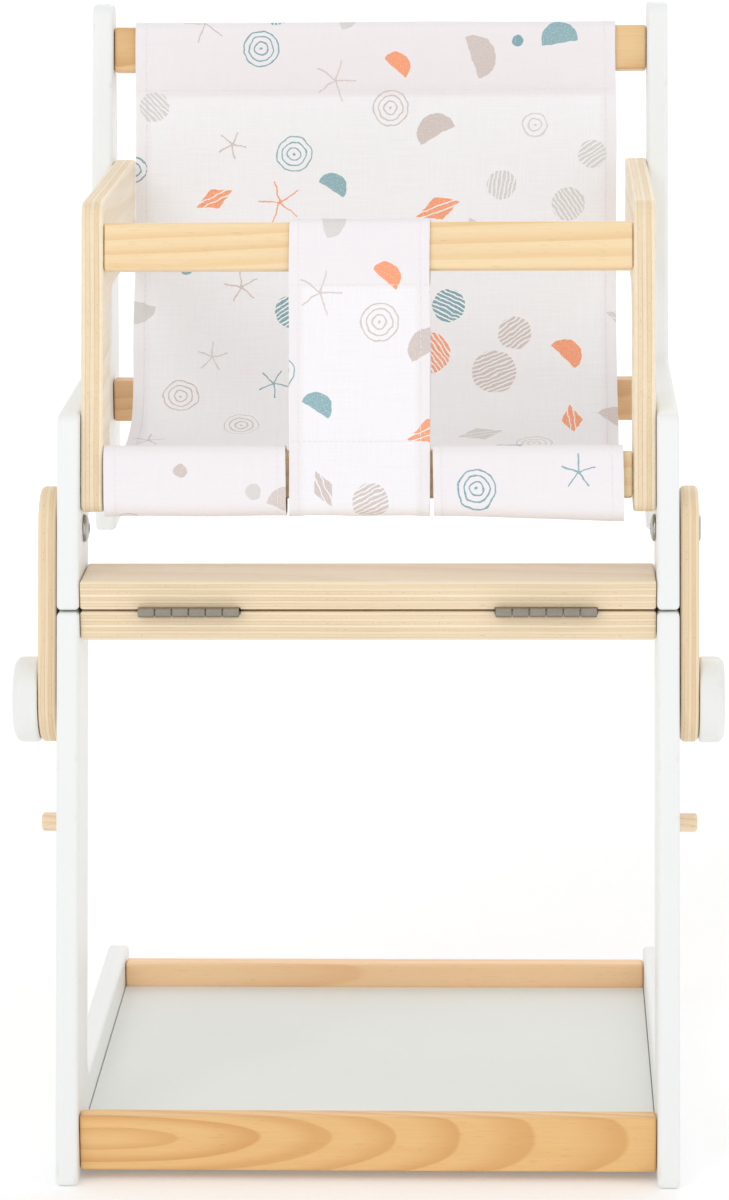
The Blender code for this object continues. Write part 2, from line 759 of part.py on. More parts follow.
top_loop = rounded(
    [
        (*on_top(-casing_half, top_low), 0),
        (*on_top(-casing_half, top_up), CASING_CORNER),
        (*on_top(casing_half, top_up), CASING_CORNER),
        (*on_top(casing_half, top_low), CASING_CORNER),
        (*on_top(CLOTH_THICK - casing_half, top_low), 0),
    ]
)
front_loop = rounded(
    [
        (*on_front(casing_half, front_up - CLOTH_THICK), 0),
        (*on_front(casing_half, front_low), CASING_CORNER),
        (*on_front(-casing_half, front_low), CASING_CORNER),
        (*on_front(-casing_half, front_up), CASING_CORNER),
        (*on_front(casing_half, front_up), 0),
    ]
)
sling_outline = top_loop + lower_side[1:-1] + front_loop + upper_side[-2:0:-1]
sling_holes = [casing_hole(TOP_RAIL_HEIGHT, on_top), casing_hole(SEAT_RAIL_HEIGHT, on_front)]
sling = extruded("sling_cloth", [sling_outline, *sling_holes], SLING_WIDTH)
seat(sling, chair, (SLING_SHIFT, 0, 0))


def belly(obj, width):
    """Let the sheet hang lower and further back in its middle than at its free edges."""
    shape = bmesh.new()
    shape.from_mesh(obj.data)
    for index in range(1, FOLD_SLICES):
        bmesh.ops.bisect_plane(
            shape,
            geom=shape.verts[:] + shape.edges[:] + shape.faces[:],
            plane_co=(0, 0, width * (index / FOLD_SLICES - 1 / 2)),
            plane_no=(0, 0, 1),
        )
    for vertex in shape.verts:
        y, z, x = vertex.co
        across = math.cos(math.pi * x / width)
        if z >= past_rail.y:
            share = (z - past_rail.y) / (sheet_start.y - past_rail.y)
            if share < 1:
                vertex.co.x += SLING_BELLY * across * math.sin(math.pi * share)
        else:
            share = (y - sheet_end.x) / pan_depth
            if share > 0:
                vertex.co.y -= SLING_BELLY * across * math.sin(math.pi * share)
    shape.to_mesh(obj.data)
    shape.free()


belly(sling, SLING_WIDTH)
finished(sling, CLOTH, smooth=True)
notch_width = STRAP_WIDTH + 2 * NOTCH_MARGIN
notch_back = sheet_end.x + NOTCH_MARGIN
notch_front = on_front(-casing_half, front_up)[0] - BAR_THICK
notch_height = SEAT_RAIL_HEIGHT + 2 * (CASING_SLACK + skin + CUT_OVERRUN)
notch = block(
    "strap_notch", (notch_width, notch_back - notch_front, notch_height),
    (STRAP_SHIFT, (notch_front + notch_back) / 2, seat_z), chair, CLOTH,
)
combine(sling, hide(notch))

# Crotch strap: a casing round the safety rail and one round the front rail, sewn to two layers between
on_safety = leaning(safety_y, safety_z, RAKE)
safety_up = SAFETY_RAIL_HEIGHT / 2 + skin
safety_low = casing_bottom(SAFETY_RAIL_HEIGHT)
web_back = 2 * CLOTH_THICK - casing_half
strap_outline = rounded(
    [
        (*on_safety(-casing_half, safety_up), CASING_CORNER),
        (*on_safety(casing_half, safety_up), CASING_CORNER),
        (*on_safety(casing_half, safety_low), CASING_CORNER),
        (*on_safety(web_back, safety_low), CLOTH_THICK),
        (*on_front(web_back, front_up), CLOTH_THICK),
        (*on_front(casing_half, front_up), CASING_CORNER),
        (*on_front(casing_half, front_low), CASING_CORNER),
        (*on_front(-casing_half, front_low), CASING_CORNER),
        (*on_front(-casing_half, front_up), 0),
        (*on_safety(-casing_half, safety_low), 0),
    ]
)
strap_holes = [casing_hole(SAFETY_RAIL_HEIGHT, on_safety), casing_hole(SEAT_RAIL_HEIGHT, on_front)]
strap = extruded("crotch_strap", [strap_outline, *strap_holes], STRAP_WIDTH)
seat(strap, chair, (STRAP_SHIFT, 0, 0))
finished(strap, CLOTH, smooth=True)


def arc(radius, start, end, middle_height, steps=4):
    """Quarter-round rim of a turned profile, from one angle to another, about (middle_radius, height)."""
    return [
        (
            radius[0] + radius[1] * math.cos(start + (end - start) * step / steps),
            middle_height + radius[1] * math.sin(start + (end - start) * step / steps),
        )
        for step in range(steps + 1)
    ]


# Link bars with round ends on the bolt and on the knob
bolt_place = Vector((BOLT_Y, BOLT_HEIGHT))
knob_place = Vector((KNOB_Y, KNOB_HEIGHT))
link_run = (knob_place - bolt_place).normalized()
end_radius = LINK_WIDTH / 2
end_steps = math.ceil(math.pi / ARC_STEP)
link_outline = []
for centre, start in ((bolt_place, math.pi / 2), (knob_place, -math.pi / 2)):
    for step in range(end_steps + 1):
        reach = turned_by(link_run * end_radius, start + math.pi * step / end_steps)
        link_outline.append(centre - bolt_place + reach)

for name, side in SIDES:
    link_bar = extruded(f"link_bar_{name}", [link_outline], LINK_THICK)
    seat(link_bar, links[name], (side * (LINK_INNER_X + LINK_THICK / 2), BOLT_Y, BOLT_HEIGHT))
    soften(link_bar, LINK_ROUND)
    finished(link_bar, PLYWOOD)
    inside = side * (LINK_INNER_X - CUT_OVERRUN)
    outside = side * (LINK_OUTER_X + CUT_OVERRUN)
    bore(
        link_bar, f"sleeve_hole_{name}", sleeve_hole, inside, outside, BOLT_Y, BOLT_HEIGHT, links[name]
    )
    bore(
        link_bar, f"screw_hole_{name}", SCREW_RADIUS + SEAT_GAP, inside, outside, KNOB_Y, KNOB_HEIGHT, links[name]
    )

    # Dome-headed bolt from inside the chair, and the sleeve nut that the bar turns on
    bolt_start_x = INNER_X - SEAT_GAP
    sleeve_start_x = HALF_WIDTH + SLEEVE_END_GAP
    cap_x = LINK_OUTER_X + SEAT_GAP
    sleeve_length = cap_x - sleeve_start_x
    bolt_length = sleeve_start_x - bolt_start_x + BOLT_ENGAGE - SLEEVE_END_GAP
    dome_steps = 5
    dome = [
        (
            BOLT_HEAD_RADIUS * math.cos(math.pi / 2 * step / dome_steps),
            -BOLT_HEAD_RISE * math.sin(math.pi / 2 * step / dome_steps),
        )
        for step in range(dome_steps)
    ]
    turned(
        f"pivot_bolt_{name}",
        [(0, bolt_length), (BOLT_RADIUS, bolt_length), (BOLT_RADIUS, 0), *dome, (0, -BOLT_HEAD_RISE)],
        (side * bolt_start_x, BOLT_Y, BOLT_HEIGHT), side, chair, STEEL, ROUND_SIDES,
    )
    bore_end = bolt_start_x + bolt_length + SEAT_GAP - cap_x
    turned(
        f"cap_nut_{name}",
        [
            (0, CAP_RISE),
            (CAP_RADIUS - CAP_EDGE, CAP_RISE),
            (CAP_RADIUS, CAP_RISE - CAP_EDGE),
            (CAP_RADIUS, 0),
            (SLEEVE_RADIUS, 0),
            (SLEEVE_RADIUS, -sleeve_length),
            (bolt_hole, -sleeve_length),
            (bolt_hole, bore_end),
            (0, bore_end),
        ],
        (side * cap_x, BOLT_Y, BOLT_HEIGHT), side, chair, STEEL, ROUND_SIDES,
    )

    # Hand knob with its screw, which ends just short of the stand's insert
    bore_radius = SCREW_RADIUS + SEAT_GAP
    knob_start_x = LINK_OUTER_X + SEAT_GAP
    outer_rim = arc((KNOB_RADIUS - KNOB_RIM, KNOB_RIM), math.pi / 2, 0, KNOB_THICK - KNOB_RIM)
    back_rim = arc((KNOB_RADIUS - KNOB_BACK_RIM, KNOB_BACK_RIM), 0, -math.pi / 2, KNOB_BACK_RIM, 2)
    turned(
        f"knob_{name}",
        [
            (0, KNOB_THICK),
            *outer_rim,
            *back_rim,
            (bore_radius, 0),
            (bore_radius, KNOB_BORE_DEPTH),
            (0, KNOB_BORE_DEPTH),
        ],
        (side * knob_start_x, KNOB_Y, KNOB_HEIGHT), side, knobs[name], KNOB_WHITE, KNOB_SIDES,
    )
    screw_start_x = HALF_WIDTH + SEAT_GAP
    screw_length = knob_start_x + KNOB_BORE_DEPTH - SEAT_GAP - screw_start_x
    turned(
        f"knob_screw_{name}",
        [
            (0, screw_length),
            (SCREW_RADIUS, screw_length),
            (SCREW_RADIUS, SCREW_TIP),
            (SCREW_RADIUS - SCREW_TIP, 0),
            (0, 0),
        ],
        (side * screw_start_x, KNOB_Y, KNOB_HEIGHT), side, knobs[name], STEEL, SMALL_SIDES,
    )

bpy.context.view_layer.update()
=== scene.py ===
"""Doll high chair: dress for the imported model.

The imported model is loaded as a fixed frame, in metres, with the floor at z = 0 and the front towards -Y.
Boards, bars, knobs and cloth are made again here with finer forms, in the places that the model gives, and
every surface gets a finish made of shader nodes. Places are worked out with y counted back from the front
edge of the feet, as in the part's own source, and MIDDLE_Y moves them to the frame.
"""

import logging
import math
from abc import ABC, abstractmethod
from collections.abc import Callable, Sequence
from dataclasses import dataclass
from enum import Enum, StrEnum
from functools import partialmethod

import bmesh
import bpy
from mathutils import Euler, Matrix, Vector
from mathutils import noise as rough_noise


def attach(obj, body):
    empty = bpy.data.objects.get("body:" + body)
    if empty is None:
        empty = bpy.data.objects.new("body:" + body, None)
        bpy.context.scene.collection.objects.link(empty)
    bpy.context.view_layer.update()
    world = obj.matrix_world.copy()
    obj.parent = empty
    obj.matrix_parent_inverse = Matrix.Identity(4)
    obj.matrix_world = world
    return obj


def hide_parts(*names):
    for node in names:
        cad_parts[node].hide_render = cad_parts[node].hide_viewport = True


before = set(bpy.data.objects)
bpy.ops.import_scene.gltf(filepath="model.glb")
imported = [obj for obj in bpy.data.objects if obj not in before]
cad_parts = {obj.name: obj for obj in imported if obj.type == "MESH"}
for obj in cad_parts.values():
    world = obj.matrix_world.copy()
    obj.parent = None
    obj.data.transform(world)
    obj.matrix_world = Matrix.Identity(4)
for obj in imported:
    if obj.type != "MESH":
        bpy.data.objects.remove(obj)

log = logging.getLogger("doll_high_chair")

Socket = bpy.types.NodeSocket
Feed = float | tuple | Socket
Sockets = dict[str, Socket]
Triple = tuple[float, float, float]
Thing = bpy.types.Object
Surface = tuple[Socket, Socket, Socket]
Pair = tuple[float, float]

# Sizes that the sub-assemblies share
MIDDLE_Y = 0.162495
SEAT_GAP = 0.0003
HALF_WIDTH = 0.150
BOARD_THICK = 0.0108
INNER_X = HALF_WIDTH - BOARD_THICK
RAKE_SHARE = 0.2412
RAKE = math.atan(RAKE_SHARE)
LEG_WIDTH = 0.050
STAND_TOP = 0.2688
CHAIR_BOTTOM = 0.2698
DECK_DEPTH = 0.0443
DECK_THICK = 0.014
DECK_SETBACK = 0.0029
HINGE_MIDDLE_X = 0.086
HINGE_AHEAD = 0.0037
BOLT_Z = 0.304
KNOB_Z = 0.223
PEG_Z = 0.165
BAR_THICK = 0.012
BOARD_MIDDLE_X = HALF_WIDTH - BOARD_THICK / 2
BOARD_ARRIS = 0.0022
BETWEEN_SIDES = 2 * (INNER_X - SEAT_GAP)
BOLT_Y, KNOB_Y, PEG_Y = (RAKE_SHARE * height + LEG_WIDTH / 2 for height in (BOLT_Z, KNOB_Z, PEG_Z))
X_WAY, Y_WAY = (1.0, 0.0, 0.0), (0.0, 1.0, 0.0)
PAST_FACE = 0.002


class Side(Enum):
    """The two sides of the chair in a front view."""

    LEFT = -1
    RIGHT = 1

    @property
    def word(self) -> str:
        """Name of the side as the nodes spell it."""
        return self.name.lower()


class Body(StrEnum):
    """Bodies of the frame that move as one."""

    STAND = "stand"
    CHAIR = "chair"
    LINK = "link_{}"
    KNOB = "knob_{}_set"

    def of(self, side: Side) -> str:
        """Name of this body on one side."""
        return self.format(side.word)


class Slot(StrEnum):
    """Material slots of the record."""

    WHITE = "white_paint"
    TRAY = "tray_white"
    PLYWOOD = "plywood"
    PINE = "pine"
    NICKEL = "hinge_nickel"
    STEEL = "zinc_steel"
    KNOB = "knob_white"
    CLOTH = "printed_cloth"


# Shapes


def rake_y(height: float, setback: float = 0.0) -> float:
    """Depth of the raked front line.

    Args:
        height: height above the floor.
        setback: how far behind that line.

    Returns:
        The depth, counted back from the feet's front.
    """
    return RAKE_SHARE * height + setback


def leaning(y: float, z: float, tilt: float) -> Callable[[float, float], Vector]:
    """Frame of a bar that leans back.

    Args:
        y: depth of the bar's middle.
        z: height of the bar's middle.
        tilt: how far its top leans back, in radians.

    Returns:
        A map from (back, up) in the bar's frame to a (y, z) place.
    """
    cosine, sine = math.cos(tilt), math.sin(tilt)
    return lambda back, up: Vector((y + back * cosine + up * sine, z - back * sine + up * cosine))


def rounded(corners: Sequence[Triple], step: float = math.radians(7.5)) -> list[Vector]:
    """Outline whose corners are turned into arcs.

    Args:
        corners: (y, z, radius) of each corner, in order.
        step: largest turn between two points of an arc.

    Returns:
        The outline's points.
    """
    points = []
    for index, (y, z, radius) in enumerate(corners):
        here = Vector((y, z))
        if not radius:
            points.append(here)
            continue
        before = (Vector(corners[index - 1][:2]) - here).normalized()
        after = (Vector(corners[(index + 1) % len(corners)][:2]) - here).normalized()
        half = before.angle(after) / 2
        middle = here + (before + after).normalized() * (radius / math.sin(half))
        reach = radius / math.tan(half)
        start, end = here + before * reach - middle, here + after * reach - middle
        turn = math.atan2(start.cross(end), start.dot(end))
        steps = max(2, math.ceil(abs(turn) / step))
        points += [middle + Matrix.Rotation(turn * k / steps, 2) @ start for k in range(steps + 1)]
    return points


def smooth_line(points: Sequence[Vector], spacing: float, closed: bool = False) -> list[Vector]:
    """Smooth curve through points, cut into even lengths.

    Args:
        points: the points that the curve passes.
        spacing: wanted distance between two cuts.
        closed: whether the curve runs back to its first point.

    Returns:
        The cuts, of which the last repeats the first on a closed curve.
    """
    count = len(points)
    fine: list[Vector] = []
    for index in range(count if closed else count - 1):
        four = [
            points[(index + k) % count] if closed else points[min(max(index + k, 0), count - 1)]
            for k in (-1, 0, 1, 2)
        ]
        for step in range(16):
            t = step / 16
            fine.append(
                (
                    four[1] * 2
                    + (four[2] - four[0]) * t
                    + (four[0] * 2 - four[1] * 5 + four[2] * 4 - four[3]) * t**2
                    + (four[1] * 3 - four[0] - four[2] * 3 + four[3]) * t**3
                )
                / 2
            )
    fine.append(points[0].copy() if closed else points[-1].copy())
    runs = runs_of(fine)
    cuts = max(2, round(runs[-1] / spacing))
    line, index = [], 0
    for cut in range(cuts + 1):
        wanted = runs[-1] * cut / cuts
        while index < len(runs) - 2 and runs[index + 1] < wanted:
            index += 1
        share = (wanted - runs[index]) / max(runs[index + 1] - runs[index], 1e-9)
        line.append(fine[index].lerp(fine[index + 1], min(max(share, 0), 1)))
    return line


def runs_of(points: Sequence[Vector]) -> list[float]:
    """Distance of each point from the first, along the line through them.

    Args:
        points: points of the line.

    Returns:
        The distances.
    """
    runs = [0.0]
    for first, second in zip(points, points[1:]):
        runs.append(runs[-1] + (second - first).length)
    return runs


def linked(name: str, data: bpy.types.ID) -> Thing:
    """New object of the scene with some data.

    Args:
        name: its name.
        data: its mesh, lamp or camera.

    Returns:
        The object.
    """
    made = bpy.data.objects.new(name, data)
    bpy.context.scene.collection.objects.link(made)
    return made


def object_of(name: str, shape: bmesh.types.BMesh) -> Thing:
    """Turn a bmesh into an object of the scene.

    Args:
        name: name of the object and its mesh.
        shape: the bmesh, which is freed.

    Returns:
        The new object, at the origin.
    """
    mesh = bpy.data.meshes.new(name)
    shape.to_mesh(mesh)
    shape.free()
    return linked(name, mesh)


def baked(obj: Thing) -> Thing:
    """Apply an object's modifiers, in place.

    Args:
        obj: the object, which keeps its name and place.

    Returns:
        The same object with a plain mesh.
    """
    bpy.context.view_layer.update()
    graph = bpy.context.evaluated_depsgraph_get()
    mesh = bpy.data.meshes.new_from_object(
        obj.evaluated_get(graph), preserve_all_data_layers=True, depsgraph=graph
    )
    obj.modifiers.clear()
    old, obj.data = obj.data, mesh
    bpy.data.meshes.remove(old)
    mesh.name = obj.name
    return obj


def cut(obj: Thing, cutters: Sequence[Thing]) -> Thing:
    """Take the cutters' volume out of an object and remove the cutters.

    Args:
        obj: the object to cut.
        cutters: closed meshes that reach out of it.

    Returns:
        The same object.
    """
    for cutter in cutters:
        modifier = obj.modifiers.new("cut", "BOOLEAN")
        modifier.operation, modifier.solver, modifier.object = "DIFFERENCE", "EXACT", cutter
    baked(obj)
    for cutter in cutters:
        bpy.data.meshes.remove(cutter.data)
    return obj


def smoothed(obj: Thing, sharp: float = 40) -> Thing:
    """Shade flats flat and rounds round, by face-weighted normals.

    Args:
        obj: the object.
        sharp: angle in degrees past which an edge stays sharp.

    Returns:
        The same object.
    """
    obj.data.shade_smooth()
    obj.data.set_sharp_from_angle(angle=math.radians(sharp))
    weighted = obj.modifiers.new("normals", "WEIGHTED_NORMAL")
    weighted.keep_sharp = True
    return baked(obj)


def slab(name: str, outline: Sequence[Vector], push: Vector, arris: float, segments: int) -> Thing:
    """Plate of one outline with rounded rims.

    Args:
        name: name of the piece.
        outline: corners of its near face.
        push: way from there to its far face.
        arris: radius of its rims.
        segments: number of facets round a rim.

    Returns:
        The plate, at its place.
    """
    shape = bmesh.new()
    near = shape.faces.new([shape.verts.new(point) for point in outline])
    far = bmesh.ops.extrude_face_region(shape, geom=[near], use_keep_orig=True)["geom"]
    moved = [item for item in far if isinstance(item, bmesh.types.BMVert)]
    bmesh.ops.translate(shape, vec=push, verts=moved)
    bmesh.ops.recalc_face_normals(shape, faces=shape.faces)
    rims = [edge for face in shape.faces if len(face.verts) > 4 for edge in face.edges]
    bmesh.ops.bevel(shape, geom=rims, offset=arris, segments=segments, profile=0.5, affect="EDGES")
    return object_of(name, shape)


def board(name: str, outline: Sequence[Vector], thick: float, middle_x: float, arris: float) -> Thing:
    """Standing board, from the (y, z) points of its edge and the X of its middle plane."""
    near = [Vector((middle_x - thick / 2, point.x - MIDDLE_Y, point.y)) for point in outline]
    return slab(name, near, Vector((thick, 0, 0)), arris, 5)


def bar(name: str, size: Triple, middle: Triple, arris: float, tilt: float = 0.0) -> Thing:
    """Straight bar with rounded rims.

    Args:
        name: name of the piece.
        size: its width, depth and height.
        middle: place of its middle, with y counted from the feet's front.
        arris: radius of its rims.
        tilt: how far it leans back, in radians.

    Returns:
        The bar, at its place.
    """
    shape = bmesh.new()
    bmesh.ops.create_cube(shape, size=1)
    bmesh.ops.scale(shape, vec=size, verts=shape.verts)
    bmesh.ops.bevel(shape, geom=shape.edges[:], offset=arris, segments=4, profile=0.5, affect="EDGES")
    place = Matrix.Translation((middle[0], middle[1] - MIDDLE_Y, middle[2]))
    bmesh.ops.transform(shape, matrix=place @ Matrix.Rotation(-tilt, 4, "X"), verts=shape.verts)
    return object_of(name, shape)


def rod(name: str, radius: float, start_x: float, end_x: float, y: float, z: float, sides: int) -> Thing:
    """Straight cutter along X.

    Args:
        name: name of the cutter.
        radius: its radius.
        start_x: one end.
        end_x: the other end.
        y: depth of its axis, counted from the feet's front.
        z: height of its axis.
        sides: number of flats round it.

    Returns:
        The cutter.
    """
    shape = bmesh.new()
    long = abs(end_x - start_x)
    bmesh.ops.create_cone(shape, cap_ends=True, segments=sides, radius1=radius, radius2=radius, depth=long)
    place = Matrix.Translation(((start_x + end_x) / 2, y - MIDDLE_Y, z))
    bmesh.ops.transform(shape, matrix=place @ Matrix.Rotation(math.pi / 2, 4, "Y"), verts=shape.verts)
    bmesh.ops.recalc_face_normals(shape, faces=shape.faces)
    return object_of(name, shape)


def turned(
    name: str, profile: Sequence[Pair], start_x: float, side: Side, y: float, z: float, sides: int = 64
) -> Thing:
    """Piece turned about an axis along X.

    Args:
        name: name of the piece.
        profile: (radius, height) pairs, from the tip inward, whose height points away from the chair.
        start_x: distance of height 0 from the middle plane.
        side: side of the chair.
        y: depth of the axis, counted from the feet's front.
        z: height of the axis.
        sides: number of facets round it.

    Returns:
        The piece, closed and at its place.
    """
    shape = bmesh.new()
    rings = []
    for radius, height in profile:
        ring = []
        for k in range(sides if radius else 1):
            turn = 2 * math.pi * k / sides
            there = (y - MIDDLE_Y + radius * math.cos(turn), z + radius * math.sin(turn))
            ring.append(shape.verts.new((side.value * (start_x + height), *there)))
        rings.append(ring)
    if profile[0][0] and profile[-1][0]:
        rings.append(rings[0])
    for first, second in zip(rings, rings[1:]):
        for k in range(sides):
            corners = [first[k % len(first)], first[(k + 1) % len(first)]]
            corners += [second[(k + 1) % len(second)], second[k % len(second)]]
            shape.faces.new(list(dict.fromkeys(corners)))
    bmesh.ops.recalc_face_normals(shape, faces=shape.faces)
    return object_of(name, shape)


def quarter(radius: float, rim: float, height: float, start: float, end: float, steps: int = 8) -> list[Pair]:
    """Rounded rim of a turned profile.

    Args:
        radius: radius of the piece.
        rim: radius of the rounding.
        height: height of the rounding's middle.
        start: angle at which it starts, in degrees.
        end: angle at which it ends, in degrees.
        steps: number of facets.

    Returns:
        Its (radius, height) pairs.
    """
    angles = [math.radians(start + (end - start) * k / steps) for k in range(steps + 1)]
    return [(radius - rim + rim * math.cos(a), height + rim * math.sin(a)) for a in angles]


def joined(name: str, pieces: Sequence[Thing]) -> Thing:
    """Gather the shells of several objects in one mesh.

    Args:
        name: name of the new object.
        pieces: the objects, which are removed.

    Returns:
        The new object.
    """
    shape = bmesh.new()
    for piece in pieces:
        shape.from_mesh(piece.data)
        bpy.data.meshes.remove(piece.data)
    return object_of(name, shape)


# Shader effects


def daylight(red: float, green: float, blue: float) -> tuple[float, float, float, float]:
    """Linear colour of a colour as it shows in daylight.

    Args:
        red: red from 0 to 255.
        green: green from 0 to 255.
        blue: blue from 0 to 255.

    Returns:
        The linear colour, opaque.
    """
    levels = [level / 255 for level in (red, green, blue)]
    return (*(v / 12.92 if v <= 0.04045 else ((v + 0.055) / 1.055) ** 2.4 for v in levels), 1.0)


def dimmed(colour: Triple, share: float) -> Triple:
    """Colour with a share of its levels."""
    return tuple(level * share for level in colour)


class Wiring:
    """Adds nodes to one tree and joins them."""

    def __init__(self, tree: bpy.types.NodeTree) -> None:
        """Take the tree to fill."""
        self.tree = tree

    def feed(self, socket: Socket, value: Feed) -> None:
        """Join an input to a socket, or set its value.

        Args:
            socket: the input.
            value: the socket or the value.
        """
        if isinstance(value, bpy.types.NodeSocket):
            self.tree.links.new(value, socket)
        else:
            socket.default_value = value

    def node(self, kind: str, feeds: dict[str | int, Feed] | None = None, **settings: object) -> bpy.types.Node:
        """Add a node.

        Args:
            kind: its type.
            feeds: what its inputs take, by name or place.
            settings: its own settings.

        Returns:
            The node.
        """
        made = self.tree.nodes.new(kind)
        made.location.x = 180 * len(self.tree.nodes)
        for key, value in settings.items():
            setattr(made, key, value)
        for key, value in (feeds or {}).items():
            self.feed(made.inputs[key], value)
        return made

    def maths(self, operation: str, *values: Feed, clamp: bool = False) -> Socket:
        """Result of a Math node on up to three values."""
        feeds = dict(enumerate(values))
        return self.node("ShaderNodeMath", feeds, operation=operation, use_clamp=clamp).outputs[0]

    times = partialmethod(maths, "MULTIPLY")
    plus = partialmethod(maths, "ADD")
    minus = partialmethod(maths, "SUBTRACT")
    over = partialmethod(maths, "DIVIDE")
    times_plus = partialmethod(maths, "MULTIPLY_ADD")
    above = partialmethod(maths, "GREATER_THAN")
    below = partialmethod(maths, "LESS_THAN")
    part = partialmethod(maths, "FRACT")
    plain = partialmethod(maths, "ABSOLUTE")

    def vector(self, operation: str, *values: Feed) -> Socket:
        """Vector, or number, that a Vector Math node makes of its values."""
        made = self.node("ShaderNodeVectorMath", dict(enumerate(values)), operation=operation)
        return made.outputs["Value" if operation in ("LENGTH", "DOT_PRODUCT", "DISTANCE") else "Vector"]

    def scaled(self, vector: Feed, amount: Feed) -> Socket:
        """Vector times a number."""
        return self.node("ShaderNodeVectorMath", {0: vector, "Scale": amount}, operation="SCALE").outputs[0]

    def turned(self, vector: Feed, angle: Feed) -> Socket:
        """Vector turned about Z."""
        feeds = {"Vector": vector, "Angle": angle}
        return self.node("ShaderNodeVectorRotate", feeds, rotation_type="Z_AXIS").outputs[0]

    def blend(self, share: Feed, first: Feed, second: Feed) -> Socket:
        """Colour from the first, at share 0, to the second, at share 1, where a triple is a daylight colour."""
        first, second = (daylight(*tone) if isinstance(tone, tuple) else tone for tone in (first, second))
        return self.node("ShaderNodeMix", {0: share, 6: first, 7: second}, data_type="RGBA").outputs[2]

    def ramp(self, value: Feed, low: Feed, high: Feed, start: Feed = 0.0, end: Feed = 1.0) -> Socket:
        """Smooth step of a value from start, at low, to end, at high."""
        feeds = {"Value": value, "From Min": low, "From Max": high, "To Min": start, "To Max": end}
        return self.node("ShaderNodeMapRange", feeds, interpolation_type="SMOOTHSTEP").outputs["Result"]

    def noise(self, vector: Feed, scale: Feed, detail: float = 2.0, rough: float = 0.5) -> bpy.types.Node:
        """Noise texture at a scale."""
        feeds = {"Vector": vector, "Scale": scale, "Detail": detail, "Roughness": rough}
        return self.node("ShaderNodeTexNoise", feeds)

    def level(self, vector: Feed, scale: Feed, detail: float = 2.0, rough: float = 0.5) -> Socket:
        """Level of a noise texture."""
        return self.noise(vector, scale, detail, rough).outputs[0]

    def streaks(self, vector: Feed, stretch: Triple, detail: float = 2.0, rough: float = 0.5) -> Socket:
        """Level of a noise texture that is scaled way by way."""
        return self.level(self.vector("MULTIPLY", vector, stretch), 1.0, detail, rough)

    def split(self, vector: Feed) -> Surface:
        """The three numbers of a vector."""
        return tuple(self.node("ShaderNodeSeparateXYZ", {0: vector}).outputs)

    def join(self, x: Feed, y: Feed, z: Feed = 0.0) -> Socket:
        """Vector of three numbers."""
        return self.node("ShaderNodeCombineXYZ", {0: x, 1: y, 2: z}).outputs[0]


class Effect(ABC):
    """A look that several finishes share, as one shader node group."""

    name: str
    inputs: dict[str, Feed]
    outputs: dict[str, str]
    made: dict[str, bpy.types.NodeTree] = {}

    @abstractmethod
    def fill(self, w: Wiring, take: Sockets) -> Sockets:
        """Make the inside of the group.

        Args:
            w: wiring of the group's tree.
            take: the group's inputs.

        Returns:
            What each output gives.
        """

    def tree(self) -> bpy.types.NodeTree:
        """The group's tree, built once.

        Returns:
            The tree.
        """
        if self.name not in Effect.made:
            tree = bpy.data.node_groups.new(self.name, "ShaderNodeTree")
            for name, value in self.inputs.items():
                kind = "NodeSocketFloat"
                if isinstance(value, tuple):
                    kind = "NodeSocketColor" if len(value) == 4 else "NodeSocketVector"
                tree.interface.new_socket(name=name, in_out="INPUT", socket_type=kind).default_value = value
            for name, kind in self.outputs.items():
                tree.interface.new_socket(name=name, in_out="OUTPUT", socket_type=f"NodeSocket{kind}")
            w = Wiring(tree)
            entry = w.node("NodeGroupInput")
            given = self.fill(w, {name: entry.outputs[name] for name in self.inputs})
            w.node("NodeGroupOutput", dict(given))
            Effect.made[self.name] = tree
        return Effect.made[self.name]

    def place(self, w: Wiring, **feeds: Feed) -> Sockets:
        """Put the effect in a material.

        Args:
            w: wiring of the material.
            feeds: values of its inputs, with _ for each blank in a name.

        Returns:
            Its outputs by name.
        """
        named = {key.replace("_", " "): value for key, value in feeds.items()}
        made = w.node("ShaderNodeGroup", node_tree=self.tree())
        for key, value in named.items():
            w.feed(made.inputs[key], value)
        return {name: made.outputs[name] for name in self.outputs}


class BoardEdges(Effect):
    """Tells a board's edges and rounded rims from its faces, by the way that they look."""

    name = "board_edges"
    inputs = {"normal": (0.0, 0.0, 1.0)}
    outputs = {"edge": "Float", "rim": "Float"}

    def fill(self, w: Wiring, take: Sockets) -> Sockets:
        """Make the masks, with Z across the board's thickness.

        Args:
            w: wiring of the group's tree.
            take: the group's inputs.

        Returns:
            What each output gives.
        """
        across = w.plain(w.split(take["normal"])[2])
        edge = w.ramp(across, 0.72, 0.9, 1.0, 0.0)
        rim = w.times(w.times(across, w.minus(1.0, across)), 4.0, clamp=True)
        return {"edge": edge, "rim": w.ramp(rim, 0.35, 1.0)}


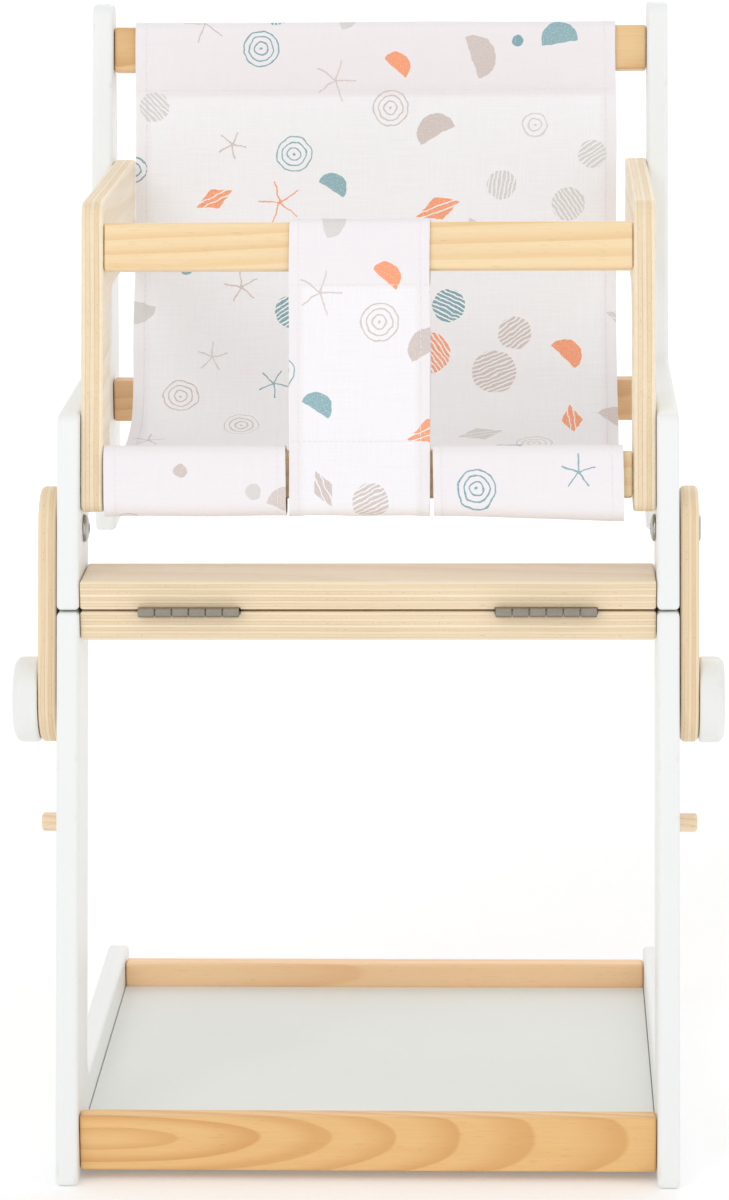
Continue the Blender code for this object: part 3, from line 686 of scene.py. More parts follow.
class WoodGrain(Effect):
    """Growth rings, fibres, pores and knots of sawn wood, whose grain runs along X."""

    name = "wood_grain"
    inputs = {
        "position": (0.0, 0.0, 0.0),
        "heart": (0.0, 0.0, 0.03),
        "slope": 0.06,
        "ring": 0.004,
        "wander": 0.012,
        "knots": 0.0,
    }
    outputs = {"ring": "Float", "fibre": "Float", "pores": "Float", "knot": "Float", "height": "Float"}

    def fill(self, w: Wiring, take: Sockets) -> Sockets:
        """Make the grain.

        Args:
            w: wiring of the group's tree.
            take: the group's inputs.

        Returns:
            What each output gives.
        """
        place = take["position"]
        x, y, z = w.split(place)
        slow = w.vector("MULTIPLY", w.vector("ADD", place, take["heart"]), (4.0, 16.0, 16.0))
        drift = w.vector("SUBTRACT", w.noise(slow, 1.0, 2).outputs["Color"], (0.5, 0.5, 0.5))
        _, drift_y, drift_z = w.split(w.scaled(drift, take["wander"]))
        _, heart_y, heart_z = w.split(take["heart"])
        cell = w.node(
            "ShaderNodeTexVoronoi", {"Vector": w.vector("MULTIPLY", place, (9.0, 26.0, 9.0)), "Scale": 1.0}
        )
        chosen = w.below(w.split(cell.outputs["Color"])[0], take["knots"])
        knot = w.times(chosen, w.ramp(cell.outputs["Distance"], 0.05, 0.13, 1.0, 0.0))
        bulge = w.times(chosen, w.ramp(cell.outputs["Distance"], 0.0, 0.42, 1.0, 0.0))
        across_y = w.plus(w.plus(y, heart_y), drift_y)
        lift = w.times_plus(x, take["slope"], drift_z)
        across_z = w.plus(w.plus(z, heart_z), lift)
        distance = w.vector("LENGTH", w.join(across_y, across_z))
        count = w.plus(w.over(distance, take["ring"]), w.times(bulge, 2.2))
        share = w.part(count)
        late = w.times(w.ramp(share, 0.25, 0.92), w.ramp(share, 0.92, 1.0, 1.0, 0.0))
        strength = w.level(w.join(count, 0.0), 0.7, 1)
        late = w.times(late, w.ramp(strength, 0.3, 0.7, 0.45, 1.0))
        fibre = w.streaks(place, (26.0, 1100.0, 1100.0), 3, 0.6)
        streak = w.streaks(place, (9.0, 240.0, 240.0), 2)
        fibre = w.plus(w.times(fibre, 0.55), w.times(streak, 0.45))
        dashes = w.streaks(place, (120.0, 1500.0, 1500.0), 1)
        pores = w.ramp(dashes, 0.66, 0.74)
        height = w.minus(w.times_plus(late, 0.35, fibre), w.times(pores, 0.5))
        return {"ring": late, "fibre": fibre, "pores": pores, "knot": knot, "height": height}


class PlyLayers(Effect):
    """Layers of plywood across Z, with their glue lines and the small gaps in them."""

    name = "ply_layers"
    inputs = {"position": (0.0, 0.0, 0.0), "thickness": 0.0108, "plies": 5.0}
    outputs = {"tone": "Float", "glue": "Float", "gaps": "Float"}

    def fill(self, w: Wiring, take: Sockets) -> Sockets:
        """Make the layers.

        Args:
            w: wiring of the group's tree.
            take: the group's inputs.

        Returns:
            What each output gives.
        """
        x, y, z = w.split(take["position"])
        run = w.streaks(take["position"], (14.0, 14.0, 5.0), 2)
        share = w.plus(w.over(z, take["thickness"]), 0.5)
        count = w.times(share, take["plies"])
        count = w.plus(count, w.times(w.minus(run, 0.5), 0.5))
        layer = w.maths("FLOOR", count)
        part = w.part(count)
        own = w.node("ShaderNodeTexWhiteNoise", {"W": layer}, noise_dimensions="1D").outputs["Value"]
        odd = w.maths("MODULO", w.plain(layer), 2.0)
        rough = w.noise(w.join(w.times(x, 30.0), w.times(y, 30.0), count), 3.0, 3).outputs[0]
        tone = w.plus(w.times(odd, 0.45), w.times(own, 0.3))
        tone = w.plus(tone, w.times(rough, 0.25), clamp=True)
        near = w.maths("MINIMUM", part, w.minus(1.0, part))
        glue = w.ramp(near, 0.02, 0.16, 1.0, 0.0)
        ink = w.noise(w.join(w.times(x, 12.0), w.times(y, 12.0), layer), 1.6, 2).outputs[0]
        glue = w.times(glue, w.ramp(ink, 0.3, 0.65, 0.25, 1.0))
        spots = w.streaks(take["position"], (700.0, 700.0, 2200.0), 1)
        middle = w.ramp(w.plain(w.minus(part, 0.5)), 0.1, 0.3, 1.0, 0.0)
        gaps = w.times(w.times(w.ramp(spots, 0.66, 0.72), middle), odd)
        return {"tone": tone, "glue": glue, "gaps": gaps}


class PaintCoat(Effect):
    """Sprayed and rubbed paint: slow changes of tone, a fine stipple and the wood's grain beneath."""

    name = "paint_coat"
    inputs = {"position": (0.0, 0.0, 0.0), "rim": 0.0}
    outputs = {"tone": "Float", "wear": "Float", "height": "Float"}

    def fill(self, w: Wiring, take: Sockets) -> Sockets:
        """Make the coat.

        Args:
            w: wiring of the group's tree.
            take: the group's inputs.

        Returns:
            What each output gives.
        """
        place = take["position"]
        tone = w.level(place, 9.0, 3)
        stipple = w.level(place, 850.0, 2)
        grain = w.streaks(place, (22.0, 520.0, 520.0), 3)
        height = w.plus(w.times(stipple, 0.35), w.times(grain, 0.65))
        rubbed = w.ramp(w.level(place, 60.0, 4, 0.65), 0.56, 0.72)
        return {"tone": tone, "wear": w.times(rubbed, take["rim"]), "height": height}


class Weave(Effect):
    """Plain weave with slubs, on a map in metres."""

    name = "plain_weave"
    inputs = {"map": (0.0, 0.0, 0.0), "pitch": 0.00045}
    outputs = {"thread": "Float", "slub": "Float", "height": "Float"}

    def fill(self, w: Wiring, take: Sockets) -> Sockets:
        """Make the weave.

        Args:
            w: wiring of the group's tree.
            take: the group's inputs.

        Returns:
            What each output gives.
        """
        x, y, _ = w.split(take["map"])
        turns = w.over(2 * math.pi, take["pitch"])
        warp = w.maths("SINE", w.times(x, turns))
        weft = w.maths("SINE", w.times(y, turns))
        thread = w.times_plus(w.times(warp, weft), 0.5, 0.5)
        across = w.streaks(take["map"], (40.0, 1600.0, 1.0), 2)
        along = w.streaks(take["map"], (1600.0, 40.0, 1.0), 2)
        slub = w.times(w.plus(across, along), 0.5)
        return {"thread": thread, "slub": slub, "height": w.times_plus(thread, 0.5, slub)}


class ScatteredPrint(Effect):
    """Printed half discs, striped discs, rings, stars, lozenges and dots, strewn over a map in metres."""

    name = "scattered_print"
    inputs = {"map": (0.0, 0.0, 0.0), "apart": 0.0365, "size": 0.0102}
    outputs = {"ink": "Float", "colour": "Color"}

    def fill(self, w: Wiring, take: Sockets) -> Sockets:
        """Make the print.

        Args:
            w: wiring of the group's tree.
            take: the group's inputs.

        Returns:
            What each output gives.
        """
        shaky = w.vector("SUBTRACT", w.noise(take["map"], 210.0, 1).outputs["Color"], (0.5, 0.5, 0.5))
        steady = w.vector("ADD", take["map"], w.scaled(shaky, 0.0021))
        cells = w.scaled(w.turned(steady, 0.42), w.over(1.0, take["apart"]))
        feeds = {"Vector": cells, "Scale": 1.0, "Randomness": 0.62}
        cell = w.node("ShaderNodeTexVoronoi", feeds, voronoi_dimensions="2D")
        first, second, third = w.split(cell.outputs["Color"])
        local = w.scaled(w.vector("SUBTRACT", cells, cell.outputs["Position"]), take["apart"])
        local = w.turned(local, w.times(third, 6.283))
        x, y, _ = w.split(w.vector("MULTIPLY", local, (1.0, 1.0, 0.0)))
        reach = w.vector("LENGTH", w.join(x, y))
        radius = w.times(take["size"], w.ramp(second, 0.0, 1.0, 0.72, 1.12))
        inside = w.below(reach, radius)
        half = w.times(inside, w.above(y, -0.0014))
        bars = w.above(w.part(w.over(y, 0.0021)), 0.36)
        striped = w.times(inside, bars)
        rings = w.times(inside, w.below(w.part(w.over(reach, 0.0029)), 0.26))
        rays = w.plain(w.maths("SINE", w.times(w.maths("ARCTAN2", y, x), 2.5)))
        star = w.times(inside, w.below(w.times(rays, reach), 0.0009))
        skew = w.plus(w.over(w.plain(x), 0.52), w.plain(y))
        notch = w.above(w.plain(w.minus(w.plain(x), 0.0014)), 0.0003)
        lozenge = w.times(w.below(skew, w.times(radius, 1.15)), notch)
        dot = w.below(reach, w.times(radius, 0.42))
        ink: Feed = 0.0
        kinds = ((half, 0.0, 0.24), (striped, 0.24, 0.42), (rings, 0.42, 0.6), (star, 0.6, 0.74))
        for mask, low, high in (*kinds, (lozenge, 0.74, 0.9), (dot, 0.9, 1.01)):
            chosen = w.times(w.above(first, low), w.below(first, high))
            ink = w.plus(ink, w.times(chosen, mask), clamp=True)
        colours = w.node("ShaderNodeValToRGB", {0: w.part(w.times_plus(first, 7.3, second))})
        ramp = colours.color_ramp
        ramp.interpolation = "CONSTANT"
        inks = ((0.0, (138, 180, 187)), (0.2, (216, 202, 196)), (0.4, (222, 219, 216)), (0.6, (255, 160, 108)))
        for index, (share, shade) in enumerate((*inks, (0.76, (222, 208, 203)), (0.9, (120, 168, 178)))):
            stop = ramp.elements[index] if index < 2 else ramp.elements.new(share)
            stop.position = share
            stop.color = daylight(*shade)
        return {"ink": ink, "colour": colours.outputs[0]}


class BrushedMetal(Effect):
    """Fine brush lines, rubbed patches and a few scratches."""

    name = "brushed_metal"
    inputs = {"position": (0.0, 0.0, 0.0)}
    outputs = {"patch": "Float", "height": "Float"}

    def fill(self, w: Wiring, take: Sockets) -> Sockets:
        """Make the marks.

        Args:
            w: wiring of the group's tree.
            take: the group's inputs.

        Returns:
            What each output gives.
        """
        place = take["position"]
        brush = w.streaks(place, (300.0, 5200.0, 5200.0), 2)
        patch = w.level(place, 240.0, 3, 0.6)
        scratch = w.ramp(w.streaks(place, (4000.0, 260.0, 900.0), 1), 0.68, 0.74)
        return {"patch": patch, "height": w.minus(brush, w.times(scratch, 0.6))}


# Finishes


@dataclass(frozen=True)
class Lay:
    """How a board lies: its middle, the way of its grain and the way through its thickness."""

    middle: Triple = (0.0, 0.0, 0.0)
    grain: Triple = X_WAY
    through: Triple = (0.0, 0.0, 1.0)

    @classmethod
    def at(cls, middle: Triple, *ways: Triple) -> "Lay":
        """Lay of a piece whose middle has its y counted from the feet's front."""
        return cls((middle[0], middle[1] - MIDDLE_Y, middle[2]), *ways)

    def turn(self) -> Euler:
        """Turn from the board's own frame, X along the grain and Z through it, to the world.

        Returns:
            The turn.
        """
        along = Vector(self.grain).normalized()
        across = Vector(self.through).normalized().cross(along).normalized()
        return Matrix((along, across, along.cross(across))).transposed().to_euler()

    def coordinates(self, w: Wiring) -> tuple[Socket, Socket]:
        """Place and normal in the board's own frame.

        Args:
            w: wiring of the material.

        Returns:
            The two vectors.
        """
        given = w.node("ShaderNodeTexCoord")
        feeds = {"Vector": given.outputs["Object"], "Location": self.middle, "Rotation": self.turn()}
        place = w.node("ShaderNodeMapping", feeds, vector_type="TEXTURE").outputs[0]
        feeds = {"Vector": given.outputs["Normal"], "Rotation": self.turn()}
        return place, w.node("ShaderNodeMapping", feeds, vector_type="TEXTURE").outputs[0]


@dataclass(frozen=True)
class Finish(ABC):
    """What every finish has: the record's slot, its plain colour, roughness and how deep its relief is."""

    slot: Slot
    colour: Triple
    roughness: float = 0.5
    relief: float = 0.0001

    @abstractmethod
    def fill(self, w: Wiring, lay: Lay) -> Surface:
        """Make the surface.

        Args:
            w: wiring of the material.
            lay: how the piece lies.

        Returns:
            Its colour, roughness and height.
        """

    def steady(self) -> dict[str, float]:
        """Shader values that are the same all over."""
        return {}

    def rough(self, w: Wiring, level: Socket, span: float) -> Socket:
        """Roughness that a level spreads evenly round the finish's own."""
        return w.times_plus(level, span, self.roughness - span / 2)

    def material(self, name: str, lay: Lay) -> bpy.types.Material:
        """Make this finish for one piece.

        Args:
            name: name of the material.
            lay: how the piece lies.

        Returns:
            The material.
        """
        made = bpy.data.materials.new(name)
        made.use_nodes = True
        made.diffuse_color = daylight(*self.colour)
        shader = made.node_tree.nodes["Principled BSDF"]
        w = Wiring(made.node_tree)
        colour, roughness, height = self.fill(w, lay)
        bump = w.node("ShaderNodeBump", {"Height": height, "Strength": 1.0, "Distance": self.relief})
        w.feed(shader.inputs["Base Color"], colour)
        w.feed(shader.inputs["Roughness"], roughness)
        w.feed(shader.inputs["Normal"], bump.outputs[0])
        for key, value in self.steady().items():
            shader.inputs[key].default_value = value
        return made


@dataclass(frozen=True)
class Paint(Finish):
    """Satin paint on board."""

    def fill(self, w: Wiring, lay: Lay) -> Surface:
        """Make the surface.

        Args:
            w: wiring of the material.
            lay: how the piece lies.

        Returns:
            Its colour, roughness and height.
        """
        place, normal = lay.coordinates(w)
        edges = BoardEdges().place(w, normal=normal)
        coat = PaintCoat().place(w, position=place, rim=edges["rim"])
        base = w.blend(coat["tone"], self.colour, dimmed(self.colour, 0.975))
        worn = w.blend(w.times(coat["wear"], 0.35), base, (226, 214, 192))
        roughness = self.rough(w, coat["tone"], 0.14)
        return worn, roughness, coat["height"]


@dataclass(frozen=True)
class Wood(Finish):
    """Clear-varnished solid wood."""

    relief: float = 0.00008
    late: Triple = (214, 160, 92)
    heart: Triple = (0.0, 0.02, 0.05)
    slope: float = 0.05
    ring: float = 0.0045
    ring_depth: float = 0.55
    knots: float = 0.0

    def fill(self, w: Wiring, lay: Lay) -> Surface:
        """Make the surface.

        Args:
            w: wiring of the material.
            lay: how the piece lies.

        Returns:
            Its colour, roughness and height.
        """
        place, normal = lay.coordinates(w)
        grain = WoodGrain().place(
            w, position=place, heart=self.heart, slope=self.slope, ring=self.ring, knots=self.knots
        )
        colour = w.blend(w.times(grain["ring"], self.ring_depth), self.colour, self.late)
        colour = w.blend(w.ramp(grain["fibre"], 0.3, 0.75, 0.0, 0.22), colour, self.late)
        colour = w.blend(w.times(grain["pores"], 0.16), colour, (176, 124, 72))
        colour = w.blend(w.times(grain["knot"], 0.8), colour, (150, 88, 46))
        ends = w.ramp(w.plain(w.split(normal)[0]), 0.6, 0.9, 0.0, 0.3)
        colour = w.blend(ends, colour, dimmed(self.late, 0.82))
        return colour, self.rough(w, grain["fibre"], 0.16), grain["height"]

    def steady(self) -> dict[str, float]:
        """Thin varnish."""
        return {"Coat Weight": 0.12, "Coat Roughness": 0.3}


@dataclass(frozen=True)
class Plywood(Finish):
    """Varnished plywood: veneer on its faces and layers on its edges."""

    late: Triple = (226, 196, 150)
    dark_layer: Triple = (236, 210, 168)
    light_layer: Triple = (252, 238, 212)
    glue: Triple = (196, 156, 108)
    thick: float = 0.0108
    plies: float = 5.0
    heart: Triple = (0.0, 0.03, 0.045)

    def fill(self, w: Wiring, lay: Lay) -> Surface:
        """Make the surface.

        Args:
            w: wiring of the material.
            lay: how the piece lies.

        Returns:
            Its colour, roughness and height.
        """
        place, normal = lay.coordinates(w)
        edges = BoardEdges().place(w, normal=normal)
        grain = WoodGrain().place(w, position=place, heart=self.heart, slope=0.04, ring=0.0075)
        layers = PlyLayers().place(w, position=place, thickness=self.thick, plies=self.plies)
        face = w.blend(w.times(grain["ring"], 0.4), self.colour, self.late)
        face = w.blend(w.ramp(grain["fibre"], 0.3, 0.75, 0.0, 0.25), face, self.late)
        face = w.blend(w.times(grain["pores"], 0.2), face, (190, 150, 104))
        edge = w.blend(layers["tone"], self.light_layer, self.dark_layer)
        edge = w.blend(w.times(layers["glue"], 0.5), edge, self.glue)
        edge = w.blend(w.times(layers["gaps"], 0.5), edge, (170, 126, 82))
        edge = w.blend(w.ramp(grain["fibre"], 0.3, 0.75, 0.0, 0.14), edge, self.glue)
        colour = w.blend(edges["edge"], face, edge)
        height = w.minus(grain["height"], w.times(layers["glue"], edges["edge"]))
        return colour, self.rough(w, grain["fibre"], 0.16), height

    def steady(self) -> dict[str, float]:
        """Thin varnish."""
        return {"Coat Weight": 0.1, "Coat Roughness": 0.35}


@dataclass(frozen=True)
class Metal(Finish):
    """Plated metal with brush lines and rubbed patches."""

    def fill(self, w: Wiring, lay: Lay) -> Surface:
        """Make the surface.

        Args:
            w: wiring of the material.
            lay: how the piece lies.

        Returns:
            Its colour, roughness and height.
        """
        place, _ = lay.coordinates(w)
        marks = BrushedMetal().place(w, position=place)
        colour = w.blend(marks["patch"], self.colour, dimmed(self.colour, 0.84))
        return colour, self.rough(w, marks["patch"], 0.2), marks["height"]

    def steady(self) -> dict[str, float]:
        """All metal."""
        return {"Metallic": 1.0}


@dataclass(frozen=True)
class PrintedCloth(Finish):
    """Printed cotton, which looks warmer where it lies double."""

    double: Triple = (247, 242, 244)

    def fill(self, w: Wiring, lay: Lay) -> Surface:
        """Make the surface from the piece's map in metres.

        Args:
            w: wiring of the material.
            lay: how the piece lies; not used.

        Returns:
            Its colour, roughness and height.
        """
        chart = w.node("ShaderNodeUVMap", uv_map="cloth").outputs[0]
        given = w.node("ShaderNodeAttribute", attribute_name="lapped", attribute_type="GEOMETRY")
        weave = Weave().place(w, map=chart)
        design = ScatteredPrint().place(w, map=chart)
        base = w.blend(given.outputs["Fac"], self.colour, self.double)
        base = w.blend(w.ramp(weave["slub"], 0.35, 0.65, 0.0, 0.28), base, (240, 236, 242))
        speck = w.noise(w.vector("MULTIPLY", chart, (1.0, 1.0, 0.0)), 1300.0, 1).outputs[0]
        share = w.times(design["ink"], w.ramp(speck, 0.28, 0.5, 0.62, 0.94))
        colour = w.blend(share, base, design["colour"])
        roughness = self.rough(w, weave["thread"], 0.1)
        return colour, roughness, weave["height"]

    def steady(self) -> dict[str, float]:
        """Soft sheen of brushed cotton."""
        return {"Sheen Weight": 0.12, "Sheen Roughness": 0.5, "Specular IOR Level": 0.25}


@dataclass(frozen=True)
class Thread(Finish):
    """Twisted sewing thread."""

    def fill(self, w: Wiring, lay: Lay) -> Surface:
        """Make the surface.

        Args:
            w: wiring of the material.
            lay: how the piece lies.

        Returns:
            Its colour, roughness and height.
        """
        place, _ = lay.coordinates(w)
        weave = Weave().place(w, map=place, pitch=0.0003)
        colour = w.blend(weave["slub"], self.colour, dimmed(self.colour, 0.94))
        return colour, w.times_plus(weave["thread"], 0.1, self.roughness), weave["height"]


WHITE_PAINT = Paint(Slot.WHITE, (246, 248, 247), 0.42, 0.00005)
# The tray's white is darker than the white paint of the sides: painted shade, for white board that lies in
# shade under the chair.
SHADED_TRAY_PAINT = Paint(Slot.TRAY, (233, 235, 231), 0.5, 0.00004)
KNOB_PAINT = Paint(Slot.KNOB, (241, 242, 239), 0.38, 0.00004)
RAIL_WOOD = Wood(
    Slot.PLYWOOD, (248, 222, 178), 0.46,
    late=(230, 186, 126), heart=(0.0, 0.05, 0.03), ring=0.007, ring_depth=0.6,
)
TOP_RAIL_WOOD = Wood(
    Slot.PLYWOOD, (240, 206, 152), 0.46,
    late=(205, 150, 88), heart=(0.0, 0.004, 0.05), ring=0.0055, ring_depth=0.8,
)
SHADED_RAIL_WOOD = Wood(Slot.PLYWOOD, (236, 194, 146), late=(206, 158, 110), heart=(0.0, 0.02, 0.04))
STAND_RAIL_WOOD = Wood(
    Slot.PINE, (240, 195, 130), 0.46, late=(217, 158, 90),
    heart=(0.0, 0.003, 0.028), slope=0.16, ring=0.0062, ring_depth=0.85, knots=0.12,
)
REAR_STAND_RAIL_WOOD = Wood(
    Slot.PINE, (253, 214, 168), 0.46, late=(238, 186, 130), heart=(0.3, 0.01, 0.04), slope=0.03
)
PEG_WOOD = Wood(Slot.PINE, (248, 224, 192), late=(224, 182, 138), heart=(0.0, 0.01, 0.02), ring=0.003)
PLY = Plywood(Slot.PLYWOOD, (253, 242, 222), 0.48, 0.00006)
DECK_PLY = Plywood(
    Slot.PLYWOOD, (250, 233, 208), 0.48, 0.00006, thick=0.014, plies=9.0, heart=(0.2, 0.02, 0.06)
)
LINK_PLY = Plywood(
    Slot.PLYWOOD, (243, 226, 196), 0.48, 0.00006,
    dark_layer=(231, 202, 159), light_layer=(248, 231, 202), thick=0.009,
)
NICKEL = Metal(Slot.NICKEL, (163, 156, 145), 0.2, 0.00002)
STEEL = Metal(Slot.STEEL, (198, 198, 194), 0.34, 0.00002)
CLOTH = PrintedCloth(Slot.CLOTH, (253, 253, 255), 0.88, 0.00006)
CLOTH_BACK = PrintedCloth(Slot.CLOTH, (246, 245, 246), 0.9, 0.00006)
SEWING_THREAD = Thread(Slot.CLOTH, (250, 249, 249), 0.7, 0.00004)


def dressed(
    obj: Thing, body: str, finish: Finish, lay: Lay = Lay(), *stands_for: str
) -> Thing:
    """Give a piece its finish, unless it has one, its body and the nodes that it stands for.

    Args:
        obj: the piece.
        body: name of the body that it rides on.
        finish: its finish.
        lay: how it lies.
        stands_for: names of the nodes that it replaces.

    Returns:
        The piece.
    """
    if not obj.data.materials:
        obj.data.materials.append(finish.material(obj.name, lay))
    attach(obj, str(body))
    if stands_for:
        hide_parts(*stands_for)
    log.info("%s: %d faces on %s", obj.name, len(obj.data.polygons), body)
    return obj


def refinished(node: str, material: bpy.types.Material) -> None:
    """Give a node that keeps its shape a new material.

    Args:
        node: name of the node.
        material: the material.
    """
    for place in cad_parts[node].material_slots:
        place.material = material
    log.info("%s: kept, with %s", node, material.name)


# Repeated small things


class Repeat(ABC):
    """Geometry Nodes tree that sets one small shape again and again along or on a carrier."""

    name: str
    sizes: dict[str, float]

    @abstractmethod
    def fill(self, w: Wiring, take: Sockets) -> Socket:
        """Make the inside of the tree.

        Args:
            w: wiring of the tree.
            take: its inputs.

        Returns:
            The instances.
        """

    def run(self, carrier: Thing, material: bpy.types.Material, **sizes: float) -> Thing:
        """Run the tree on a carrier.

        Args:
            carrier: object whose mesh says where the shapes go, and which takes the result.
            material: material of the shapes.
            sizes: sizes that differ from the usual ones.

        Returns:
            The carrier with the plain mesh of all the shapes.
        """
        tree = bpy.data.node_groups.new(self.name, "GeometryNodeTree")
        socket = tree.interface.new_socket
        socket(name="carrier", in_out="INPUT", socket_type="NodeSocketGeometry")
        ids = {}
        for name, value in {**self.sizes, **sizes}.items():
            made = socket(name=name, in_out="INPUT", socket_type="NodeSocketFloat")
            made.default_value = value
            ids[made.identifier] = value
        ids[socket(name="finish", in_out="INPUT", socket_type="NodeSocketMaterial").identifier] = material
        socket(name="shapes", in_out="OUTPUT", socket_type="NodeSocketGeometry")
        w = Wiring(tree)
        entry = w.node("NodeGroupInput")
        take = {name: entry.outputs[name] for name in ("carrier", *self.sizes)}
        real = w.node("GeometryNodeRealizeInstances", {0: self.fill(w, take)}).outputs[0]
        painted = w.node("GeometryNodeSetMaterial", {"Geometry": real, "Material": entry.outputs["finish"]})
        w.node("NodeGroupOutput", {0: painted.outputs[0]})
        modifier = carrier.modifiers.new(self.name, "NODES")
        modifier.node_group = tree
        for key, value in ids.items():
            modifier[key] = value
        return baked(carrier)

    def set_out(self, w: Wiring, points: Socket, shape: Socket, ways: Socket) -> Socket:
        """Set a shape on points.

        Args:
            w: wiring of the tree.
            points: the points.
            shape: the shape.
            ways: way that each one's Z looks.

        Returns:
            The instances.
        """
        turn = w.node("FunctionNodeAlignRotationToVector", {"Vector": ways}, axis="Z").outputs[0]
        feeds = {"Points": points, "Instance": shape, "Rotation": turn}
        return w.node("GeometryNodeInstanceOnPoints", feeds).outputs[0]


class Stitching(Repeat):
    """Stitches laid end to end along the carrier's lines."""

    name = "stitching"
    sizes = {"pitch": 0.0028, "thread": 0.00022, "length": 0.0021}

    def fill(self, w: Wiring, take: Sockets) -> Socket:
        """Make the stitches.

        Args:
            w: wiring of the tree.
            take: its inputs.

        Returns:
            The instances.
        """
        curve = w.node("GeometryNodeMeshToCurve", {"Mesh": take["carrier"]}).outputs[0]
        places = w.node("GeometryNodeResampleCurve", {"Curve": curve, "Length": take["pitch"]}, mode="LENGTH")
        ball = w.node("GeometryNodeMeshUVSphere", {"Segments": 6, "Rings": 4, "Radius": 1.0}).outputs["Mesh"]
        size = w.join(take["thread"], take["thread"], w.times(take["length"], 0.5))
        stitch = w.node("GeometryNodeTransform", {"Geometry": ball, "Scale": size}).outputs[0]
        run = w.node("GeometryNodeInputTangent").outputs[0]
        return self.set_out(w, places.outputs[0], stitch, run)


class ScrewHeads(Repeat):
    """Countersunk screw heads with a cross, at the carrier's points, looking along their attribute out."""

    name = "screw_heads"
    sizes = {"radius": 0.0031, "sink": 0.0016, "cross": 0.0007, "reach": 0.0036}

    def fill(self, w: Wiring, take: Sockets) -> Socket:
        """Make the heads.

        Args:
            w: wiring of the tree.
            take: its inputs.

        Returns:
            The instances.
        """
        under = w.times(take["radius"], 0.6)
        feeds = {"Vertices": 24, "Radius Top": take["radius"], "Radius Bottom": under, "Depth": take["sink"]}
        cone = w.node("GeometryNodeMeshCone", feeds).outputs["Mesh"]
        low = w.join(0.0, 0.0, w.times(take["sink"], -1.0))
        head = w.node("GeometryNodeTransform", {"Geometry": cone, "Translation": low}).outputs[0]
        sizes = [w.join(take[x], take[y], take["sink"]) for x, y in (("reach", "cross"), ("cross", "reach"))]
        slots = [w.node("GeometryNodeMeshCube", {"Size": size}).outputs["Mesh"] for size in sizes]
        both = w.node("GeometryNodeMeshBoolean", {"Mesh 2": slots[0]}, operation="UNION")
        w.feed(both.inputs["Mesh 2"], slots[1])
        feeds = {"Mesh 1": head, "Mesh 2": both.outputs[0]}
        crossed = w.node("GeometryNodeMeshBoolean", feeds, operation="DIFFERENCE").outputs[0]
        looks = w.node("GeometryNodeInputNamedAttribute", {"Name": "out"}, data_type="FLOAT_VECTOR").outputs[0]
        return self.set_out(w, take["carrier"], crossed, looks)


def lines_object(name: str, lines: Sequence[Sequence[Vector]]) -> Thing:
    """Carrier of open lines, with edges only.

    Args:
        name: name of the object.
        lines: the points of each line.

    Returns:
        The carrier.
    """
    points: list[Vector] = []
    edges: list[tuple[int, int]] = []
    for line in lines:
        edges += [(len(points) + k, len(points) + k + 1) for k in range(len(line) - 1)]
        points += line
    mesh = bpy.data.meshes.new(name)
    mesh.from_pydata(points, edges, [])
    return linked(name, mesh)


def screws(
    name: str, places: Sequence[tuple[Vector, Vector]], body: str, finish: Finish, **sizes: float
) -> None:
    """Make the screw heads of one body.

    Args:
        name: name of the piece.
        places: where each head's face lies and the way that it looks.
        body: name of the body that they ride on.
        finish: their finish.
        sizes: sizes that differ from the usual ones.
    """
    carrier = lines_object(name, [[place] for place, _ in places])
    looks = carrier.data.attributes.new("out", "FLOAT_VECTOR", "POINT")
    looks.data.foreach_set("vector", [number for _, way in places for number in way])
    made = ScrewHeads().run(carrier, finish.material(name, Lay()), **sizes)
    dressed(smoothed(made, 30), body, finish)


def side_screws(name: str, spots: Sequence[Triple], body: str) -> None:
    """Make screws that look outward on both sides.

    Args:
        name: name of the piece.
        spots: distance of a face from the middle plane, depth from the feet's front, and height.
        body: name of the body that they ride on.
    """
    stand_out = 0.0001
    places = [
        (Vector((side.value * (x + stand_out), y - MIDDLE_Y, z)), Vector((side.value, 0, 0)))
        for side in Side
        for x, y, z in spots
    ]
    screws(name, places, body, STEEL)


# Sub-assemblies


